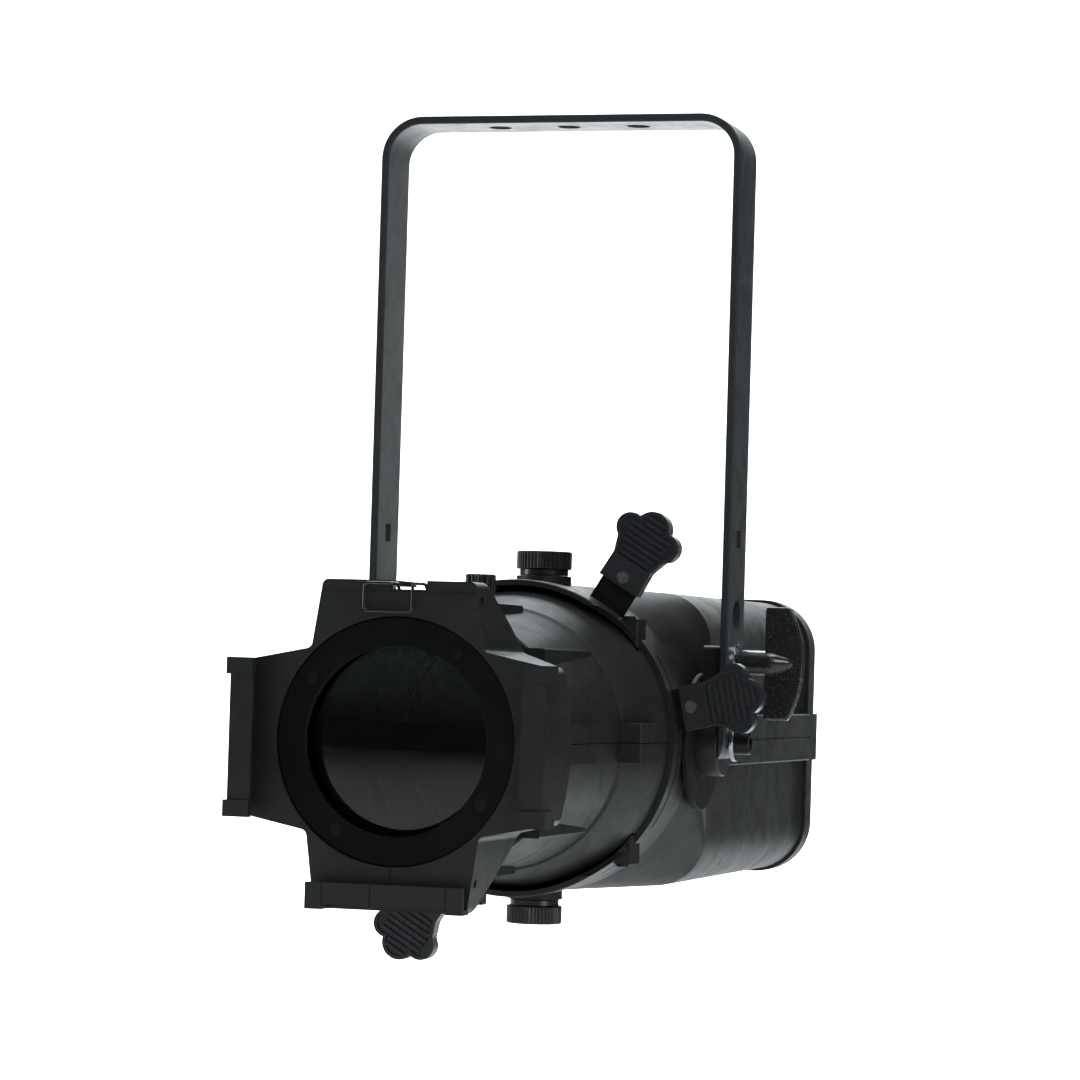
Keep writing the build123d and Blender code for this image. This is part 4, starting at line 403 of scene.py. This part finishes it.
# ------------------------------------------------------------------ finishes of the solid parts
def finish_table(coat):
    """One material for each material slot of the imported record."""
    shell, yoke, holder = tuple(coat.shell), tuple(coat.yoke), tuple(coat.holder)
    black = (0.012, 0.012, 0.013)
    return {
        "shell_paint": skin("shell_coat", shell, coat.shell_rough, coat.grain, specular=0.35, depth=0.16,
                            cloud=0.07, fleck=0.2, fleck_colour=(0.04, 0.042, 0.045), scratch=0.15,
                            dust=0.12),
        "yoke_paint": skin("yoke_coat", yoke, 0.42, 1300.0, depth=0.3, cloud=0.1, fleck=0.5,
                           fleck_colour=(0.1, 0.105, 0.115), dust=0.1, scratch=0.2),
        "holder_plastic": skin("holder_moulding", holder, 0.44, 1500.0, depth=0.12, cloud=0.14, fleck=0.15,
                               fleck_colour=(0.05, 0.05, 0.052)),
        "ring_black": skin("ring_matt", (0.0015, 0.002, 0.0024), 0.5, 1800.0, depth=0.12, cloud=0.08,
                           metal=0.0, specular=0.15),
        "tube_black": skin("tube_anodised", (0.004, 0.004, 0.0045), 0.38, 1500.0, depth=0.06, metal=0.0,
                           specular=0.3),
        "moulding": skin("plain_moulding", black, 0.42, 1400.0, depth=0.1),
        "knob_gloss": skin("cast_gloss", (0.014, 0.014, 0.015), 0.3, 520.0, depth=0.35, fleck=0.3, coat=0.5,
                           coat_rough=0.12, grain_height=0.0004),
        "fibre_disc": skin("fibre_board", (0.008, 0.009, 0.01), 0.6, 1300.0, depth=0.2, cloud=0.12, fleck=0.3,
                           fleck_colour=(0.03, 0.032, 0.034), dust=0.0, specular=0.15),
        "black_screw": skin("black_oxide", (0.02, 0.02, 0.022), 0.32, 1700.0, depth=0.05, metal=0.7),
        "panel_plastic": skin("panel_moulding", (0.015, 0.015, 0.017), 0.5, 1500.0, depth=0.1),
        "display_glass": skin("display_window", (0.004, 0.007, 0.012), 0.12, 1500.0, depth=0.0, coat=1.0,
                              coat_rough=0.04, dust=0.1),
        "socket_metal": brushed("socket_shell", (0.42, 0.42, 0.44), 0.3),
        "knob_ribbed": skin("ribbed_moulding", (0.012, 0.012, 0.013), 0.33, 1500.0, depth=0.05, coat=0.25),
        "knob_fluted": skin("fluted_moulding", (0.012, 0.012, 0.013), 0.24, 1500.0, depth=0.04, coat=0.4),
        "wire_black": skin("wire_enamel", (0.01, 0.01, 0.011), 0.2, 1500.0, depth=0.02, coat=0.6,
                           coat_rough=0.08),
        "gate_steel": skin("stove_black", (0.005, 0.005, 0.005), 0.6, 1500.0, depth=0.1),
        "blade_steel": skin("heat_toned_steel", (0.03, 0.03, 0.031), 0.36, 1200.0, depth=0.08, cloud=0.3,
                            metal=0.8, scratch=0.8),
        "grip_plastic": skin("grip_moulding", (0.026, 0.028, 0.031), 0.34, 1500.0, depth=0.12, cloud=0.15,
                             fleck=0.2, fleck_colour=(0.06, 0.06, 0.06)),
        "bright_screw": brushed("plated_screw", (0.55, 0.55, 0.56), 0.28),
        "zinc_steel": brushed("plated_washer", (0.6, 0.6, 0.61), 0.25),
        "reflector": brushed("polished_reflector", (0.8, 0.8, 0.8), 0.12),
        "emitter": skin("phosphor", (0.62, 0.52, 0.12), 0.5, 1500.0, depth=0.1, dust=0.0),
        "heat_sink": brushed("extruded_aluminium", (0.6, 0.6, 0.61), 0.35),
        "fan_plastic": skin("fan_moulding", black, 0.45, 1400.0, depth=0.05),
        "driver_case": brushed("folded_aluminium", (0.5, 0.5, 0.5), 0.4),
        "button_rubber": skin("button_rubber", (0.07, 0.07, 0.073), 0.65, 1500.0, depth=0.1, dust=0.1),
        "lens_glass": clear_glass("optical_glass", (0.42, 0.47, 0.5), 0.1),
    }


class SPOT_OT_finish_parts(bpy.types.Operator):
    """Give every solid part the finish of its material slot"""
    bl_idname = "spotlight.finish_parts"
    bl_label = "Finish solid parts"

    def execute(self, context):
        finishes = finish_table(context.scene.spotlight_coat)
        for entry in frame["record"]["subparts"]:
            part = frame["nodes"][entry["node"]]
            part.data.materials.clear()
            part.data.materials.append(finishes[entry["material_slot"]])
        return {"FINISHED"}


def finish_of(slot):
    """The finish already given to a solid part of this slot."""
    for entry in frame["record"]["subparts"]:
        if entry["material_slot"] == slot:
            return frame["nodes"][entry["node"]].data.materials[0]
    raise ValueError(f"no part has the slot {slot}")


# ------------------------------------------------------------------ lenses
def dome_profile(radius, edge, sag, rows=40):
    """Closed half-section of a flat-backed lens: dome from crown to rim, the edge, then the flat back."""
    sphere = (radius ** 2 + sag ** 2) / (2 * sag)
    half = np.degrees(np.arcsin(radius / sphere))
    dome = arc_rows(0, sag + edge - sphere, sphere, 90, 90 - half, rows)
    dome[0, 0] = 0.0
    back = np.array([[radius, edge - LENS_BEVEL, 0], [radius, LENS_BEVEL, 0], [radius - LENS_BEVEL, 0, 0],
                     [radius * 0.5, 0, 0], [0, 0, 0]])
    return np.concatenate([dome, back])


class SPOT_OT_lenses(bpy.types.Operator):
    """Replace the three lenses with finely curved glass"""
    bl_idname = "spotlight.lenses"
    bl_label = "Lenses"

    def execute(self, context):
        for node, edge, body in LENSES:
            low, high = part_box(node)
            radius = (high.z - low.z) / 2 / MM
            sag = (high.y - low.y) / MM - edge
            points, faces = turned(dome_profile(radius, edge, sag), 128)
            facing = Matrix.Translation((0, high.y, AXIS_Z)) @ Matrix.Rotation(radians(90), 4, "X")
            made = piece_from(node.replace("lens", "glass"), placed(points, facing), faces, body, (node,))
            made.data.materials.append(finish_of("lens_glass"))
        return {"FINISHED"}


# ------------------------------------------------------------------ knobs
def knob_profile(stem, collar, head, stem_low, collar_low, head_low, top, edge):
    """Half-section of a knob from its stem up: collar, ribbed head with rounded edges, and a dished top."""
    rows = [[0, stem_low, 0], [stem, stem_low, 0], [stem, collar_low, 0], [collar - 0.4, collar_low, 0],
            [collar, collar_low + 0.4, 0], [collar, head_low - 0.3, 0], [collar - 0.3, head_low, 0],
            [head - edge, head_low, 0.0]]
    rows = np.array(rows, float)
    lower = arc_rows(head - edge, head_low + edge, edge, -90, 0, 7)
    lower[:, 2] = np.linspace(0, 1, 7)
    sides = np.array([[head, h, 1.0] for h in np.linspace(head_low + edge + 0.4, top - edge - 0.4, 5)])
    upper = arc_rows(head - edge, top - edge, edge, 0, 90, 7)
    upper[:, 2] = np.linspace(1, 0, 7)
    dish = np.array([[head - edge - 1.2, top, 0], [head - edge - 1.8, top - 0.5, 0],
                     [head * 0.4, top - 0.6, 0], [0, top - 0.6, 0]], float)
    return np.concatenate([rows, lower, sides, upper, dish])


def make_knobs(kind, node_kind, size, ribs, depth, slot):
    """Replace the top and the bottom knob of one kind by turned pieces."""
    for side, turn in (("top", 1), ("bottom", -1)):
        node = f"{node_kind}_{side}"
        low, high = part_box(node)
        top = (high.z - AXIS_Z if turn > 0 else AXIS_Z - low.z) / MM
        centre = (low.y + high.y) / 2
        profile = knob_profile(size["stem"], size["collar"], size["head"], top - size["stem_down"],
                               top - size["collar_down"], top - size["head_down"], top, size["edge"])
        points, faces = turned(profile, ribs * size["columns"], ribs, depth, size["sharp"])
        upright = Matrix.Rotation(0 if turn > 0 else radians(180), 4, "X")
        facing = Matrix.Translation((0, centre, AXIS_Z)) @ upright
        made = piece_from(f"{kind}_{side}", placed(points, facing), faces, node, (node,))
        made.data.materials.append(finish_of(slot))


class SPOT_OT_large_knobs(bpy.types.Operator):
    """Replace the two large knobs on the housing"""
    bl_idname = "spotlight.large_knobs"
    bl_label = "Large knobs"

    def execute(self, context):
        knobs = context.scene.spotlight_knobs
        make_knobs("large_knob", "clamp_knob", LARGE_KNOB, knobs.large_ribs, knobs.large_depth, "knob_ribbed")
        return {"FINISHED"}


class SPOT_OT_small_knobs(bpy.types.Operator):
    """Replace the two small knobs of the focus slide"""
    bl_idname = "spotlight.small_knobs"
    bl_label = "Small knobs"

    def execute(self, context):
        knobs = context.scene.spotlight_knobs
        make_knobs("small_knob", "focus_knob", SMALL_KNOB, knobs.small_ribs, knobs.small_depth, "knob_fluted")
        return {"FINISHED"}


# ------------------------------------------------------------------ stage
def add_sweep(scene, studio, floor_z):
    """Pale floor that bends up into a backdrop."""
    bend = np.linspace(0, np.pi / 2, 25)[1:]
    along = np.concatenate([np.linspace(SWEEP_FRONT, SWEEP_BEND, 10), SWEEP_BEND + SWEEP_BEND * np.sin(bend),
                            np.full(4, 2 * SWEEP_BEND)])
    rise = np.concatenate([np.zeros(10), SWEEP_BEND - SWEEP_BEND * np.cos(bend),
                           np.linspace(SWEEP_BEND + 1, SWEEP_TOP, 4)])
    across = np.linspace(-SWEEP_HALF_WIDTH, SWEEP_HALF_WIDTH, SWEEP_COLUMNS)
    grid = (len(along), SWEEP_COLUMNS)
    points = np.stack([np.broadcast_to(across[None, :], grid), np.broadcast_to(along[:, None], grid),
                       np.broadcast_to(rise[:, None] + floor_z, grid)], axis=-1)
    mesh = bpy.data.meshes.new("sweep")
    mesh.from_pydata(points.reshape(-1, 3).tolist(), [], grid_faces(*grid, False).tolist())
    mesh.shade_smooth()
    sweep = bpy.data.objects.new("sweep", mesh)
    scene.collection.objects.link(sweep)
    pale = bpy.data.materials.new("pale_sweep")
    pale.use_nodes = True
    tree = pale.node_tree
    shader = tree.nodes["Principled BSDF"]
    mottle = add(tree, "ShaderNodeTexNoise", {"Scale": 2.0, "Detail": 2.0})
    paper = mix_colour(tree, tuple(c * 0.99 for c in studio.floor), tuple(studio.floor))
    join(tree, mottle, "Fac", paper, "Factor")
    join(tree, paper, "Result", shader, "Base Color")
    shader.inputs["Roughness"].default_value = 0.9
    mesh.materials.append(pale)


def add_card(scene, floor_z):
    """Dark card beside the view that keeps the backdrop from shining on the lamp's flank."""
    card_mesh = bpy.data.meshes.new("dark_card")
    card_mesh.from_pydata([(CARD_START, CARD_BACK, floor_z), (CARD_END, CARD_BACK, floor_z),
                           (CARD_END, CARD_BACK, CARD_TOP), (CARD_START, CARD_BACK, CARD_TOP)], [],
                          [(0, 1, 2, 3)])
    card = bpy.data.objects.new("dark_card", card_mesh)
    scene.collection.objects.link(card)
    felt = bpy.data.materials.new("black_felt")
    felt.use_nodes = True
    felt_shader = felt.node_tree.nodes["Principled BSDF"]
    felt_shader.inputs["Base Color"].default_value = (0.01, 0.01, 0.01, 1)
    felt_shader.inputs["Roughness"].default_value = 0.95
    card_mesh.materials.append(felt)


def add_lights(scene, studio, floor_z):
    """Soft lights on the lamp, and two behind it that light only the backdrop and the floor there."""
    lamp_middle = (0, 0, AXIS_Z)
    far_wall = (-1.6, 5.6, -0.2)
    far_floor = (-0.4, 2.8, floor_z)
    # Each row: name, place, what it points at, width, power in watts, height.
    lights = (("key_light", (1.5, -2.6, 1.4), lamp_middle, 0.9, studio.key, 1.2),
              ("side_light", (-2.6, -0.7, 0.2), lamp_middle, 0.6, studio.key * 0.8, 1.8),
              ("top_light", (0.1, 0.1, 2.2), lamp_middle, 1.3, studio.key * 1.4, 1.3),
              ("low_light", (1.8, -0.9, -0.5), lamp_middle, 0.9, studio.key * 0.12, 0.4),
              ("rear_light", (2.2, 0.5, 1.3), lamp_middle, 0.8, studio.key * 0.22, 0.9),
              ("wall_light", (-0.9, 2.4, 2.3), far_wall, 4.0, studio.backdrop, 1.6),
              ("floor_light", (-0.4, 2.6, 2.5), far_floor, 4.0, studio.backdrop * 0.5, 1.6))
    for name, spot, target, width, power, height in lights:
        lamp = bpy.data.lights.new(name, "AREA")
        lamp.shape = "RECTANGLE"
        lamp.size = width
        lamp.size_y = height
        lamp.energy = power
        lamp.color = LIGHT_TINT
        stand = bpy.data.objects.new(name, lamp)
        stand.location = spot
        stand.rotation_mode = "QUATERNION"
        stand.rotation_quaternion = (Vector(spot) - Vector(target)).to_track_quat("Z", "Y")
        scene.collection.objects.link(stand)


def add_room(scene, studio):
    """Faint even light all round."""
    world = bpy.data.worlds.new("room")
    world.use_nodes = True
    world.node_tree.nodes["Background"].inputs["Color"].default_value = ROOM_TINT
    world.node_tree.nodes["Background"].inputs["Strength"].default_value = studio.room
    scene.world = world
    scene.view_settings.view_transform = "Standard"


def add_camera(scene):
    """The main view."""
    eye = bpy.data.cameras.new("camera")
    eye.sensor_width = SENSOR_WIDTH
    eye.lens = FOCAL_LENGTH
    camera = bpy.data.objects.new("camera", eye)
    turn = Matrix((CAMERA_RIGHT, CAMERA_UP, CAMERA_BACK)).transposed()
    camera.matrix_world = Matrix.Translation(CAMERA_AT) @ turn.to_4x4()
    scene.collection.objects.link(camera)
    scene.camera = camera


class SPOT_OT_studio(bpy.types.Operator):
    """Add the pale floor that sweeps up behind, the dark card, the soft lights and the camera"""
    bl_idname = "spotlight.studio"
    bl_label = "Studio"

    def execute(self, context):
        scene = context.scene
        studio = scene.spotlight_studio
        floor_z = CAD_BOX[0][2] - studio.drop
        add_sweep(scene, studio, floor_z)
        add_card(scene, floor_z)
        add_lights(scene, studio, floor_z)
        add_room(scene, studio)
        add_camera(scene)
        return {"FINISHED"}


class SPOT_PT_panel(bpy.types.Panel):
    """Lists the spotlight's settings and steps"""
    bl_label = "Spotlight"
    bl_idname = "SPOT_PT_panel"
    bl_space_type = "VIEW_3D"
    bl_region_type = "UI"
    bl_category = "Spotlight"

    def draw(self, context):
        layout = self.layout
        for group in SETTINGS:
            box = layout.box()
            owner = getattr(context.scene, group)
            for name in owner.bl_rna.properties.keys():
                if name not in ("rna_type", "name"):
                    box.prop(owner, name)
        for step in STEPS:
            layout.operator(step.bl_idname)


SETTINGS = {
    "spotlight_coat": CoatSettings,
    "spotlight_knobs": KnobSettings,
    "spotlight_studio": StudioSettings,
}
STEPS = (SPOT_OT_finish_parts, SPOT_OT_lenses, SPOT_OT_large_knobs, SPOT_OT_small_knobs, SPOT_OT_studio)


def register():
    """Register the settings, steps and panel."""
    for name, kind in SETTINGS.items():
        bpy.utils.register_class(kind)
        setattr(bpy.types.Scene, name, PointerProperty(type=kind))
    for kind in (*STEPS, SPOT_PT_panel):
        bpy.utils.register_class(kind)


def unregister():
    """Undo register, in the opposite order."""
    for kind in (SPOT_PT_panel, *reversed(STEPS)):
        bpy.utils.unregister_class(kind)
    for name, kind in reversed(SETTINGS.items()):
        delattr(bpy.types.Scene, name)
        bpy.utils.unregister_class(kind)


def main():
    """Register everything and run each step in order."""
    register()
    for step in STEPS:
        group, name = step.bl_idname.split(".")
        getattr(getattr(bpy.ops, group), name)()


if __name__ == "__main__":
    main()
